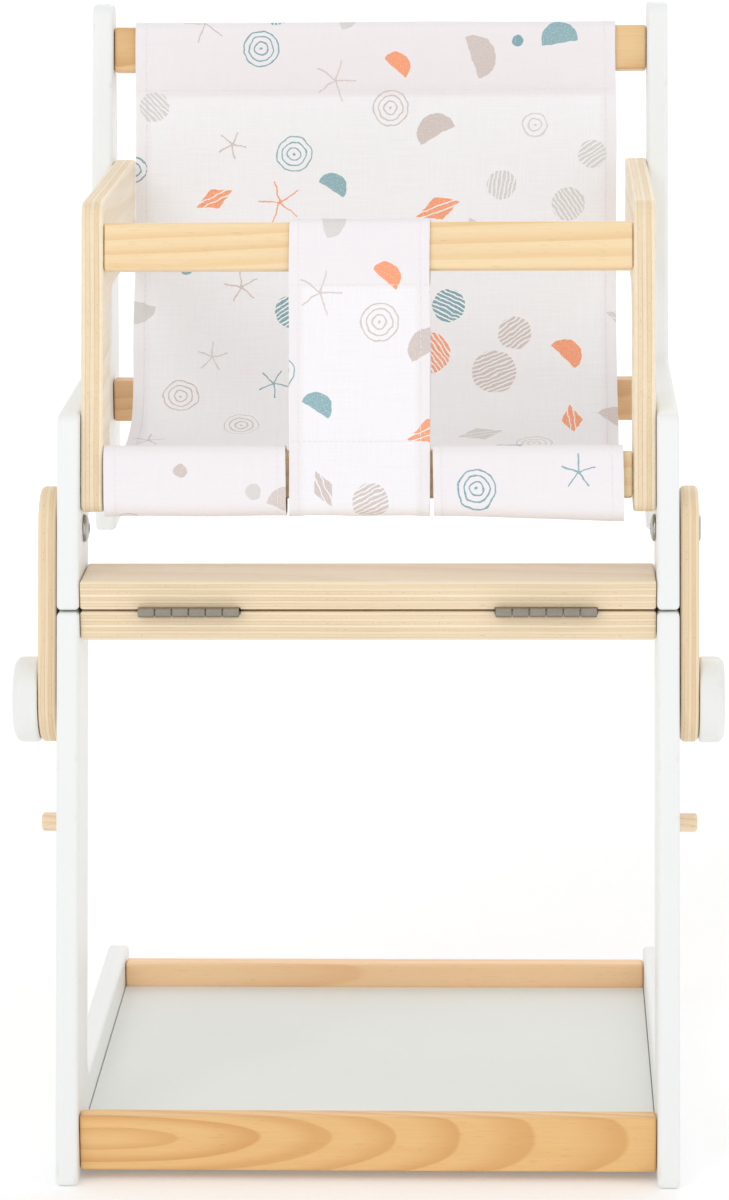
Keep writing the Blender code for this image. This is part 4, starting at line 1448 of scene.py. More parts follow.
@dataclass
class Stand:
    """Raked stand: two sides, the board under the hinges, two rails, the tray and the pegs."""

    runner_height: float = 0.036
    runner_depth: float = 0.290
    rail_height: float = 0.0275
    rail_thick: float = 0.011
    rail_lift: float = 0.005
    rail_arris: float = 0.0015
    front_rail_y: float = 0.012
    rear_rail_y: float = 0.263
    tray_thick: float = 0.005
    tray_top: float = 0.020
    tray_arris: float = 0.0006
    peg_radius: float = 0.0045
    peg_length: float = 0.018
    peg_rim: float = 0.0012
    peg_seat: float = 0.009
    insert_radius: float = 0.0042
    hole_depth: float = 0.0093

    @property
    def rail_z(self) -> float:
        """Height of the rails' middle."""
        return self.rail_lift + self.rail_height / 2

    def corners(self) -> list[Triple]:
        """Corners of a side's outline.

        Returns:
            (y, z, radius) of each corner.
        """
        return [
            (0.0, 0.0, 0.004),
            (rake_y(STAND_TOP), STAND_TOP, 0.0025),
            (rake_y(STAND_TOP, LEG_WIDTH), STAND_TOP, 0.004),
            (rake_y(self.runner_height, LEG_WIDTH), self.runner_height, 0.010),
            (self.runner_depth, self.runner_height, 0.006),
            (self.runner_depth, 0.0, 0.004),
        ]

    def side(self, side: Side) -> None:
        """Make one side, with the holes for its peg and its insert.

        Args:
            side: which side.
        """
        middle = side.value * BOARD_MIDDLE_X
        name = f"stand_board_{side.word}"
        made = board(name, rounded(self.corners()), BOARD_THICK, middle, BOARD_ARRIS)
        ends = (side.value * (HALF_WIDTH - self.hole_depth), side.value * (HALF_WIDTH + PAST_FACE))
        holes = [
            rod("peg_hole", self.peg_radius + SEAT_GAP / 2, *ends, PEG_Y, PEG_Z, 48),
            rod("insert_hole", self.insert_radius + SEAT_GAP, *ends, KNOB_Y, KNOB_Z, 48),
        ]
        smoothed(cut(made, holes))
        lay = Lay((middle, -0.06, 0.13), (0.0, RAKE_SHARE, 1.0), X_WAY)
        dressed(made, Body.STAND, WHITE_PAINT, lay, f"stand_side_{side.word}")

    def peg(self, side: Side) -> None:
        """Make one peg, and finish the insert above it.

        Args:
            side: which side.
        """
        tip, radius = self.peg_length, self.peg_radius
        profile = [(0.0, tip + 0.0002), (radius * 0.5, tip + 0.0001)]
        profile += quarter(radius, self.peg_rim, tip - self.peg_rim, 80, 0, 6)
        profile += [(radius, tip * share) for share in (0.8, 0.6, 0.4, 0.2, 0.0)]
        start = HALF_WIDTH - self.peg_seat
        peg = smoothed(turned(f"dowel_{side.word}", [*profile, (0.0, 0.0)], start, side, PEG_Y, PEG_Z, 48))
        lay = Lay.at((side.value * HALF_WIDTH, PEG_Y, PEG_Z))
        dressed(peg, Body.STAND, PEG_WOOD, lay, f"peg_{side.word}")
        refinished(f"knob_insert_{side.word}", STEEL.material(f"insert_{side.word}", Lay()))

    def rails(self) -> None:
        """Make the two rails and the tray between the sides."""
        front, rear = self.front_rail_y, self.rear_rail_y
        for word, y, finish in (("front", front, STAND_RAIL_WOOD), ("rear", rear, REAR_STAND_RAIL_WOOD)):
            middle = (0.0, y + self.rail_thick / 2, self.rail_z)
            size = (BETWEEN_SIDES, self.rail_thick, self.rail_height)
            rail = smoothed(bar(f"low_rail_{word}", size, middle, self.rail_arris))
            dressed(rail, Body.STAND, finish, Lay.at(middle, X_WAY, Y_WAY), f"stand_{word}_rail")
        front, back = front + self.rail_thick + SEAT_GAP, rear - SEAT_GAP
        middle = (0.0, (front + back) / 2, self.tray_top - self.tray_thick / 2)
        tray = bar("tray_panel", (BETWEEN_SIDES, back - front, self.tray_thick), middle, self.tray_arris)
        dressed(smoothed(tray), Body.STAND, SHADED_TRAY_PAINT, Lay.at(middle), "tray_board")

    def build(self) -> None:
        """Make the whole stand."""
        for side in Side:
            self.side(side)
            self.peg(side)
        self.rails()
        deck = Deck("stand_deck", STAND_TOP, -1, "stand_top_board", Body.STAND)
        deck.build()
        rails = (self.front_rail_y, self.rear_rail_y)
        spots = [(HALF_WIDTH, y + self.rail_thick / 2, self.rail_z) for y in rails]
        side_screws("stand_screws", spots + deck.screw_spots(), Body.STAND)


@dataclass
class Deck:
    """Plywood board that carries the hinges, with a pocket for each leaf, up or down from face_z by way."""

    name: str
    face_z: float
    way: int
    node: str
    body: Body
    arris: float = 0.0015
    leaf_depth: float = 0.022
    leaf_length: float = 0.049
    pocket_sink: float = 0.0013
    pocket_arris: float = 0.0001
    screw_setbacks: Pair = (0.012, 0.038)

    def screw_spots(self) -> list[Triple]:
        """Where the screws that hold the board go in."""
        height = self.face_z + self.way * DECK_THICK / 2
        return [(HALF_WIDTH, rake_y(self.face_z, setback), height) for setback in self.screw_setbacks]

    def build(self) -> None:
        """Make the board and cut its pockets."""
        front = rake_y(STAND_TOP, DECK_SETBACK)
        middle = (0.0, front + DECK_DEPTH / 2, self.face_z + self.way * DECK_THICK / 2)
        made = bar(self.name, (BETWEEN_SIDES, DECK_DEPTH, DECK_THICK), middle, self.arris)
        back = front - HINGE_AHEAD + self.leaf_depth + SEAT_GAP
        size = (self.leaf_length + 2 * SEAT_GAP, back - front + PAST_FACE, self.pocket_sink + PAST_FACE)
        pocket_z = self.face_z + self.way * (self.pocket_sink - PAST_FACE) / 2
        places = [(side.value * HINGE_MIDDLE_X, (back + front - PAST_FACE) / 2, pocket_z) for side in Side]
        smoothed(cut(made, [bar("pocket", size, place, self.pocket_arris) for place in places]))
        dressed(made, self.body, DECK_PLY, Lay.at(middle), self.node)


@dataclass
class ButtHinge:
    """Butt hinge of six knuckles on a pin, with three screws in each leaf."""

    side: Side
    length: float = 0.049
    depth: float = 0.022
    leaf_thick: float = 0.001
    leaf_corner: float = 0.0015
    leaf_arris: float = 0.00012
    gap: float = 0.001
    knuckle_radius: float = 0.00235
    knuckle_rim: float = 0.00025
    bore_radius: float = 0.0012
    knuckles: int = 6
    slit: float = 0.00025
    axis_y: float = RAKE_SHARE * STAND_TOP + DECK_SETBACK - HINGE_AHEAD
    axis_z: float = STAND_TOP + 0.0005
    screw_spots: tuple[Pair, ...] = ((-0.0165, 0.0125), (0.0, 0.0155), (0.0165, 0.0125))
    screw_sink: float = 0.00015

    @property
    def middle_x(self) -> float:
        """X of the hinge's middle."""
        return self.side.value * HINGE_MIDDLE_X

    @property
    def pitch(self) -> float:
        """Distance from knuckle to knuckle."""
        return self.length / self.knuckles

    def comb(self, first: int) -> list[Vector]:
        """Outline of a leaf, with a tongue for each of its knuckles.

        Args:
            first: 0 if it has the first knuckle, else 1.

        Returns:
            The (x, y) points, with y back from the pin.
        """
        start, end = self.middle_x - self.length / 2, self.middle_x + self.length / 2
        near, far = self.bore_radius + 0.0002, self.knuckle_radius + SEAT_GAP
        comb = []
        for k in range(first, self.knuckles, 2):
            tongue = start + k * self.pitch
            left, right = tongue + self.slit, tongue + self.pitch - self.slit
            comb += [(left, far), (left, near), (right, near), (right, far)]
        comb = [(start, far), *comb] if first else [*comb, (end, far)]
        left, right = comb[0][0], comb[-1][0]
        back = [(x, self.depth, self.leaf_corner) for x in (right, left)]
        return [Vector(pair) for pair in comb] + rounded([(right, far, 0), *back, (left, far, 0)], 0.3)[1:-1]

    def leaf(self, first: int, way: int, name: str) -> Thing:
        """Make a leaf.

        Args:
            first: 0 if it has the first knuckle, else 1.
            way: 1 if it lies above the pin, else -1.
            name: name of the piece.

        Returns:
            The leaf with its knuckles.
        """
        low = self.axis_z + (self.gap / 2 if way > 0 else -self.gap / 2 - self.leaf_thick)
        outline = [Vector((p.x, p.y + self.axis_y - MIDDLE_Y, low)) for p in self.comb(first)]
        shells = [slab("leaf", outline, Vector((0, 0, self.leaf_thick)), self.leaf_arris, 2)]
        rim, outer, bore = self.knuckle_rim, self.knuckle_radius, self.bore_radius
        for k in range(first, self.knuckles, 2):
            start = self.middle_x - self.length / 2 + k * self.pitch + SEAT_GAP / 2
            long = start + self.pitch - SEAT_GAP - start
            profile = [(bore, 0.0), (outer - rim, 0.0), (outer, rim)]
            profile += [(outer, long - rim), (outer - rim, long), (bore, long)]
            shells.append(turned("knuckle", profile, start, Side.RIGHT, self.axis_y, self.axis_z, 32))
        return smoothed(joined(name, shells), 35)

    def build(self) -> None:
        """Make both leaves, their screws and the pin's finish."""
        lay = Lay.at((self.middle_x, self.axis_y, self.axis_z))
        for word, first, way, body in (("lower", 0, -1, Body.STAND), ("upper", 1, 1, Body.CHAIR)):
            made = self.leaf(first, way, f"hinge_plate_{word}_{self.side.word}")
            dressed(made, body, NICKEL, lay, f"hinge_{word}_leaf_{self.side.word}")
            face = self.axis_z + way * (self.gap / 2 - self.screw_sink)
            spots = [(self.middle_x + x, self.axis_y + y - MIDDLE_Y, face) for x, y in self.screw_spots]
            places = [(Vector(spot), Vector((0, 0, -way))) for spot in spots]
            name = f"hinge_screws_{word}_{self.side.word}"
            screws(name, places, body, NICKEL, radius=0.0027, sink=0.001, cross=0.0006, reach=0.003)
        refinished(f"hinge_pin_{self.side.word}", NICKEL.material(f"pin_{self.side.word}", lay))


@dataclass(frozen=True)
class Rail:
    """Bar across the chair: its middle, with y counted from the feet's front, its height and its depth."""

    y: float
    z: float
    height: float
    depth: float = BAR_THICK

    def frame(self, tilt: float = RAKE) -> Callable[[float, float], Vector]:
        """Map from (back, up) in the bar's frame to a (y, z) place."""
        return leaning(self.y, self.z, tilt)


SAFETY_RAIL = Rail(0.117559, 0.439, 0.023)
SEAT_FRONT_RAIL = Rail(0.094209, 0.331, 0.0225)
SEAT_REAR_RAIL = Rail(0.2685, 0.3388, 0.0215, 0.013)
BACK_TOP_RAIL = Rail(0.310621, 0.517, 0.023)


@dataclass
class ChairFrame:
    """Upper chair: sides that run up into the posts, armrests and the bars that the cloth hangs on."""

    side_top: float = 0.362
    cutout_top: float = 0.312
    rear_edge_y: float = 0.292
    rear_leg_width: float = 0.030
    post_top: float = 0.541
    post_top_y: float = 0.306
    post_foot_y: float = 0.255
    post_top_width: float = 0.019
    arm_setback: float = 0.0055
    arm_width: float = 0.037
    arm_foot: float = 0.314
    arm_top: float = 0.461
    arm_height: float = 0.046
    arm_back_y: float = 0.305
    bar_arris: float = 0.0014
    bolt_hole: float = 0.0026
    foot_screw: Triple = (HALF_WIDTH, RAKE_SHARE * 0.345 + 0.024, 0.345)
    arm_screw: Triple = (HALF_WIDTH, 0.284, 0.438)

    def side_corners(self) -> list[Triple]:
        """Corners of a side's outline.

        Returns:
            (y, z, radius) of each corner.
        """
        leg_y = self.rear_edge_y - self.rear_leg_width
        return [
            (rake_y(CHAIR_BOTTOM), CHAIR_BOTTOM, 0.0025),
            (rake_y(CHAIR_BOTTOM, LEG_WIDTH), CHAIR_BOTTOM, 0.004),
            (rake_y(self.cutout_top, LEG_WIDTH), self.cutout_top, 0.015),
            (leg_y, self.cutout_top, 0.015),
            (leg_y, CHAIR_BOTTOM, 0.0025),
            (self.rear_edge_y, CHAIR_BOTTOM, 0.003),
            (self.post_top_y + self.post_top_width, self.post_top, 0.008),
            (self.post_top_y, self.post_top, 0.008),
            (self.post_foot_y, self.side_top, 0.012),
            (rake_y(self.side_top), self.side_top, 0.006),
        ]

    def arm_corners(self) -> list[Triple]:
        """Corners of an armrest's outline.

        Returns:
            (y, z, radius) of each corner.
        """
        under = self.arm_top - self.arm_height
        back = self.arm_setback + self.arm_width
        return [
            (rake_y(self.arm_foot, self.arm_setback), self.arm_foot, 0.006),
            (rake_y(self.arm_foot, back), self.arm_foot, 0.006),
            (rake_y(under, back), under, 0.018),
            (self.arm_back_y, under, 0.008),
            (self.arm_back_y, self.arm_top, 0.008),
            (rake_y(self.arm_top, self.arm_setback), self.arm_top, 0.010),
        ]

    @property
    def top_tilt(self) -> float:
        """How far the top bar leans back, midway between the post's front and rear edge.

        Returns:
            The tilt, in radians.
        """
        front = (self.post_top_y - self.post_foot_y) / (self.post_top - self.side_top)
        rear = (self.post_top_y + self.post_top_width - self.rear_edge_y) / (self.post_top - CHAIR_BOTTOM)
        return math.atan((front + rear) / 2)

    def boards(self, side: Side) -> None:
        """Make one side and its armrest.

        Args:
            side: which side.
        """
        middle = side.value * BOARD_MIDDLE_X
        name = f"chair_board_{side.word}"
        made = board(name, rounded(self.side_corners()), BOARD_THICK, middle, BOARD_ARRIS)
        ends = (side.value * (INNER_X - PAST_FACE), side.value * (HALF_WIDTH + PAST_FACE))
        smoothed(cut(made, [rod("bolt_hole", self.bolt_hole, *ends, BOLT_Y, BOLT_Z, 32)]))
        lay = Lay((middle, 0.02, 0.36), (0.0, 0.2, 1.0), X_WAY)
        dressed(made, Body.CHAIR, WHITE_PAINT, lay, f"chair_side_{side.word}")
        middle = side.value * (INNER_X - SEAT_GAP - BOARD_THICK / 2)
        arm = board(f"arm_board_{side.word}", rounded(self.arm_corners()), BOARD_THICK, middle, self.bar_arris)
        lay = Lay((middle, 0.03, 0.438), Y_WAY, X_WAY)
        dressed(smoothed(arm), Body.CHAIR, PLY, lay, f"armrest_{side.word}")

    def bars(self) -> None:
        """Make the bars between the armrests and between the sides."""
        between_arms = 2 * (INNER_X - 2 * SEAT_GAP - BOARD_THICK)
        for node, rail, width, tilt, finish in (
            ("safety_rail", SAFETY_RAIL, between_arms, RAKE, RAIL_WOOD),
            ("seat_front_rail", SEAT_FRONT_RAIL, between_arms, RAKE, RAIL_WOOD),
            ("seat_rear_rail", SEAT_REAR_RAIL, BETWEEN_SIDES, 0.0, SHADED_RAIL_WOOD),
            ("back_top_rail", BACK_TOP_RAIL, BETWEEN_SIDES, self.top_tilt, TOP_RAIL_WOOD),
        ):
            middle = (0.0, rail.y, rail.z)
            made = smoothed(bar(f"bar_{node}", (width, rail.depth, rail.height), middle, self.bar_arris, tilt))
            lay = Lay.at(middle, X_WAY, (0.0, math.cos(tilt), -math.sin(tilt)))
            dressed(made, Body.CHAIR, finish, lay, node)

    def build(self) -> None:
        """Make the chair's boards, bars and screws."""
        for side in Side:
            self.boards(side)
        self.bars()
        deck = Deck("chair_deck", CHAIR_BOTTOM, 1, "chair_base_board", Body.CHAIR)
        deck.build()
        spots = [(HALF_WIDTH, rail.y, rail.z) for rail in (SEAT_REAR_RAIL, BACK_TOP_RAIL)]
        spots += [*deck.screw_spots(), self.foot_screw, self.arm_screw]
        spots.append((INNER_X - SEAT_GAP, SAFETY_RAIL.y, SAFETY_RAIL.z))
        side_screws("chair_screws", spots, Body.CHAIR)


@dataclass
class LinkAndKnob:
    """Link bar of one side with its pivot bolt, cap nut, hand knob and screw."""

    side: Side
    gap: float = 0.0006
    thick: float = 0.009
    width: float = 0.041
    arris: float = 0.0026
    end_steps: int = 30
    sleeve_radius: float = 0.004
    sleeve_reach: float = 0.0094
    bore_radius: float = 0.0026
    cap_radius: float = 0.0065
    cap_thick: float = 0.001
    cap_rim: float = 0.0005
    head_radius: float = 0.00675
    head_rim: float = 0.0004
    head_rise: float = 0.0021
    shank_radius: float = 0.0023
    shank_reach: float = 0.0196
    knob_radius: float = 0.0208
    knob_thick: float = 0.0122
    knob_front_rim: float = 0.0042
    knob_back_rim: float = 0.0016
    screw_radius: float = 0.0027
    screw_reach: float = 0.008

    @property
    def inner(self) -> float:
        """Distance of the bar's inner face from the middle plane."""
        return HALF_WIDTH + self.gap

    @property
    def outer(self) -> float:
        """Distance of the bar's outer face from the middle plane."""
        return HALF_WIDTH + self.gap + self.thick

    @property
    def bolt_lay(self) -> Lay:
        """How the bolt and its cap nut lie."""
        return Lay.at((self.side.value * (INNER_X - SEAT_GAP), BOLT_Y, BOLT_Z))

    def outline(self) -> list[Vector]:
        """Outline of the bar, round at the bolt and at the knob.

        Returns:
            Its (y, z) points.
        """
        bolt, knob = Vector((BOLT_Y, BOLT_Z)), Vector((KNOB_Y, KNOB_Z))
        run = (knob - bolt).normalized() * self.width / 2
        return [
            centre + Matrix.Rotation(start + math.pi * k / self.end_steps, 2) @ run
            for centre, start in ((bolt, math.pi / 2), (knob, -math.pi / 2))
            for k in range(self.end_steps + 1)
        ]

    def socket(self, obj: Thing, start: float, end: float, across: float) -> Thing:
        """Cut a hex socket in a head on the bolt's axis.

        Args:
            obj: the head.
            start: distance of the socket's floor from the middle plane.
            end: distance of a place outside its mouth.
            across: its width across flats.

        Returns:
            The same head.
        """
        ends = (self.side.value * start, self.side.value * end)
        hexagon = rod("hex", across / 2 / math.cos(math.pi / 6), *ends, BOLT_Y, BOLT_Z, 6)
        return smoothed(cut(obj, [hexagon]), 30)

    def bar(self) -> None:
        """Make the bar, with the holes for the sleeve and for the knob's screw."""
        sign, middle = self.side.value, self.side.value * (self.inner + self.outer) / 2
        made = board(f"link_board_{self.side.word}", self.outline(), self.thick, middle, self.arris)
        ends = (sign * (self.inner - PAST_FACE), sign * (self.outer + PAST_FACE))
        holes = [
            rod("sleeve_hole", self.sleeve_radius + SEAT_GAP, *ends, BOLT_Y, BOLT_Z, 40),
            rod("screw_hole", self.screw_radius, *ends, KNOB_Y, KNOB_Z, 32),
        ]
        smoothed(cut(made, holes))
        place = (middle, (BOLT_Y + KNOB_Y) / 2, (BOLT_Z + KNOB_Z) / 2)
        lay = Lay.at(place, (0.0, BOLT_Y - KNOB_Y, BOLT_Z - KNOB_Z), X_WAY)
        dressed(made, Body.LINK.of(self.side), LINK_PLY, lay, f"link_bar_{self.side.word}")

    def bolt(self) -> None:
        """Make the dome-headed bolt."""
        word, start = self.side.word, INNER_X - SEAT_GAP
        head, shank = self.head_radius, self.shank_radius
        angles = [math.pi / 2 * k / 8 for k in range(1, 8)]
        profile = [(0.0, self.shank_reach), (shank, self.shank_reach), (shank, 0.0)]
        profile += [(head, 0.0), (head, -self.head_rim)]
        profile += [(head * math.cos(a), -self.head_rim - self.head_rise * math.sin(a)) for a in angles]
        profile.append((0.0, -self.head_rim - self.head_rise))
        bolt = turned(f"bolt_{word}", profile, start, self.side, BOLT_Y, BOLT_Z, 48)
        self.socket(bolt, start - 0.0009, start - 0.004, 0.005)
        dressed(bolt, Body.CHAIR, STEEL, self.bolt_lay, f"pivot_bolt_{word}")

    def cap(self) -> None:
        """Make the cap nut, whose sleeve runs through the bar."""
        word, start = self.side.word, self.outer + SEAT_GAP
        sleeve, reach, bore, floor = self.sleeve_radius, -self.sleeve_reach, self.bore_radius, -0.0011
        rim = quarter(self.cap_radius, self.cap_rim, self.cap_thick - self.cap_rim, 90, 0, 5)
        profile = [(0.0, self.cap_thick), *rim, (self.cap_radius, 0.0), (sleeve, 0.0), (sleeve, reach)]
        profile += [(bore, reach), (bore, floor), (0.0, floor)]
        cap = turned(f"cap_{word}", profile, start, self.side, BOLT_Y, BOLT_Z, 48)
        self.socket(cap, start - 0.0004, start + 0.003, 0.004)
        dressed(cap, Body.CHAIR, STEEL, self.bolt_lay, f"cap_nut_{word}")

    def knob(self) -> None:
        """Make the hand knob, and finish the screw in it."""
        word, start = self.side.word, self.outer + SEAT_GAP
        radius, thick, front, back = self.knob_radius, self.knob_thick, self.knob_front_rim, self.knob_back_rim
        profile = [(0.0, thick), (radius * 0.45, thick - 0.0001)]
        profile += quarter(radius, front, thick - front, 86, 0, 10) + quarter(radius, back, back, 0, -90, 6)
        profile += [(self.screw_radius, 0.0), (self.screw_radius, self.screw_reach), (0.0, self.screw_reach)]
        made = smoothed(turned(f"hand_knob_{word}", profile, start, self.side, KNOB_Y, KNOB_Z, 96))
        lay = Lay.at((self.side.value * start, KNOB_Y, KNOB_Z), (0.0, 0.3, 1.0), X_WAY)
        dressed(made, Body.KNOB.of(self.side), KNOB_PAINT, lay, f"knob_{word}")
        refinished(f"knob_screw_{word}", STEEL.material(f"knob_thread_{word}", lay))

    def build(self) -> None:
        """Make the bar and its hardware."""
        self.bar()
        self.bolt()
        self.cap()
        self.knob()


@dataclass
class Ribbon:
    """Strip of cloth that keeps one profile across its width, apart from what ease moves along its normal."""

    line: list[Vector]
    columns: list[float]
    ease: Callable[[int, float], float]
    closed: bool = False
    sway: float = 0.0008
    single: float = 0.62

    def __post_init__(self) -> None:
        """Work out the run and the outward normal of each row."""
        count = len(self.line)
        self.runs = runs_of(self.line)
        self.normals = []
        for index in range(count):
            before = self.line[(index - 1) % count if self.closed else max(index - 1, 0)]
            after = self.line[(index + 1) % count if self.closed else min(index + 1, count - 1)]
            run = after - before
            self.normals.append(Vector((run.y, -run.x)).normalized())

    @property
    def length(self) -> float:
        """Length of the profile, all the way round if it is closed."""
        return self.runs[-1] + (self.closed and (self.line[0] - self.line[-1]).length)

    def at(self, row: int, x: float, lift: float = 0.0) -> Vector:
        """Place on the cloth.

        Args:
            row: index along the profile.
            x: place across.
            lift: distance from the middle of the cloth to its face side.

        Returns:
            The place in the frame.
        """
        row %= len(self.line)
        point = self.line[row] + self.normals[row] * (self.ease(row, x) + lift)
        return Vector((x + self.sway * ripple(x, self.runs[row], 3, 16, 12.0), point.x - MIDDLE_Y, point.y))

    def nearest(self, place: Vector, start: int = 0) -> int:
        """Row that lies nearest to a (y, z) place, from a row on."""
        return min(range(start, len(self.line)), key=lambda row: (self.line[row] - place).length)

    def chart(self, mesh: bpy.types.Mesh) -> None:
        """Give the mesh its map in metres.

        Args:
            mesh: the cloth's mesh.
        """
        rows, width = len(self.line), len(self.columns)
        chart = mesh.uv_layers.new(name="cloth")
        for polygon in mesh.polygons:
            its_rows = {index // width for index in polygon.vertices}
            wraps = self.closed and its_rows == {0, rows - 1}
            for loop in polygon.loop_indices:
                row, column = divmod(mesh.loops[loop].vertex_index, width)
                run = self.length if wraps and row == 0 else self.runs[row]
                chart.data[loop].uv = (self.columns[column], -run)

    def build(
        self, name: str, thick: float, bulk: Callable[[int, float], float], keep: Callable[[int, float], bool]
    ) -> Thing:
        """Make the cloth.

        Args:
            name: name of the piece.
            thick: thickness where it lies double.
            bulk: from 0 to 1, how far a place is double.
            keep: whether a cell at a row and an x is there.

        Returns:
            The cloth as a closed skin, with a map in metres.
        """
        mesh = bpy.data.meshes.new(name)
        rows, width = len(self.line), len(self.columns)
        places = [(row, x) for row in range(rows) for x in self.columns]
        cells = []
        for row in range(rows if self.closed else rows - 1):
            for column in range(width - 1):
                if keep(row, (self.columns[column] + self.columns[column + 1]) / 2):
                    upper, lower = row * width + column, (row + 1) % rows * width + column
                    cells.append((upper, lower, lower + 1, upper + 1))
        mesh.from_pydata([self.at(*place) for place in places], [], cells)
        made = linked(name, mesh)
        self.chart(mesh)
        shares = [bulk(*place) for place in places]
        mesh.attributes.new("lapped", "FLOAT", "POINT").data.foreach_set("value", shares)
        group = made.vertex_groups.new(name="bulk")
        for index, share in enumerate(shares):
            group.add([index], self.single + (1 - self.single) * share, "REPLACE")
        shape = bmesh.new()
        shape.from_mesh(mesh)
        loose = [vertex for vertex in shape.verts if not vertex.link_faces]
        bmesh.ops.delete(shape, geom=loose, context="VERTS")
        shape.to_mesh(mesh)
        shape.free()
        skin = made.modifiers.new("thickness", "SOLIDIFY")
        skin.thickness, skin.offset, skin.vertex_group = thick, 0.0, "bulk"
        skin.material_offset = 1
        for face, word in ((CLOTH, "face"), (CLOTH_BACK, "back")):
            mesh.materials.append(face.material(f"{name}_{word}", Lay()))
        baked(made)
        made.data.shade_smooth()
        made.data.set_sharp_from_angle(angle=math.radians(60))
        return made


def spread_columns(breaks: Sequence[float], spacing: float) -> list[float]:
    """Places across a cloth that take in every break.

    Args:
        breaks: places that get a column, in order.
        spacing: largest distance between two columns.

    Returns:
        The places.
    """
    columns = [breaks[0]]
    for first, second in zip(breaks, breaks[1:]):
        steps = max(1, math.ceil((second - first) / spacing))
        columns += [first + (second - first) * k / steps for k in range(1, steps + 1)]
    return columns


def ripple(x: float, run: float, across: float, along: float, seed: float) -> float:
    """Soft unevenness of cloth, from about -1 to 1.

    Args:
        x: place across.
        run: place along.
        across: ripples for each metre across.
        along: ripples for each metre along.
        seed: picks the pattern.

    Returns:
        The height.
    """
    return rough_noise.noise((x * across, run * along, seed)) * 1.6


# Parts of the cloths' lines round a bar, as (back, up) from its middle
SAGGING_BACK = ((0.0005, -0.0190), (0.0058, -0.0160), (0.0077, -0.0105), (0.0072, 0.0))
OVER_THE_TOP = ((0.0070, 0.0098), (0.0058, 0.0123), (0.0, 0.0129), (-0.0058, 0.0123), (-0.0070, 0.0098))
CASING_LAP = ((-0.0058, -0.0265), (-0.0058, -0.0205))
CASING_SEAM = (-0.0071, -0.0197)
ROLL_START = (0.0077, 0.01235)
ROLL_LOW = (0.0, -0.0186)
ROLL = (
    *((0.0030, 0.0131), (-0.0045, 0.0131), (-0.0078, 0.0104), (-0.0086, 0.0), (-0.0084, -0.0115)),
    *((-0.0060, -0.0168), ROLL_LOW, (0.0062, -0.0168), (0.0083, -0.0105), (0.0081, 0.0), (0.0083, 0.0088)),
)
STRAP_LOW = (0.0, -0.0184)
STRAP_LOOP = (
    *((-0.0076, 0.0150), (-0.0078, 0.0), (-0.0080, -0.0115), (-0.0058, -0.0168)),
    *(STRAP_LOW, (0.0058, -0.0168), (0.0078, -0.0105), (0.0074, 0.0)),
    *((0.0070, 0.0098), (0.0050, 0.0128), (-0.0015, 0.0142), (-0.0062, 0.0175)),
)


@dataclass
class Cloth(ABC):
    """Sewn cloth on two bars of the chair, with a hem along its left and its right edge."""

    left: float
    right: float
    hem: float
    thick: float
    cell: Pair

    @property
    def width(self) -> float:
        """Width of the cloth."""
        return self.right - self.left

    def columns(self, *between: float) -> list[float]:
        """Places across the cloth, with the hems and some places between them."""
        breaks = (self.left, self.left + self.hem, *between, self.right - self.hem, self.right)
        return spread_columns(breaks, self.cell[1])

    def in_hem(self, x: float) -> bool:
        """Whether a place across lies in a hem."""
        return min(x - self.left, self.right - x) < self.hem + 0.0001

    @abstractmethod
    def ease(self, row: int, x: float) -> float:
        """Distance that the cloth moves along its normal.

        Args:
            row: index along the profile.
            x: place across.

        Returns:
            The distance.
        """

    @abstractmethod
    def bulk(self, row: int, x: float) -> float:
        """How far the cloth is double.

        Args:
            row: index along the profile.
            x: place across.

        Returns:
            From 0 to 1.
        """

    def sew(self, name: str, lines: Sequence[Sequence[Vector]], **sizes: float) -> None:
        """Make the stitches of one cloth along lines on it.

        Args:
            name: what the cloth is.
            lines: points of each seam.
            sizes: sizes that differ from the usual ones.
        """
        thread = SEWING_THREAD.material(f"{name}_thread", Lay())
        stitches = Stitching().run(lines_object(f"{name}_stitches", lines), thread, **sizes)
        stitches.data.shade_smooth()
        dressed(stitches, Body.CHAIR, SEWING_THREAD)


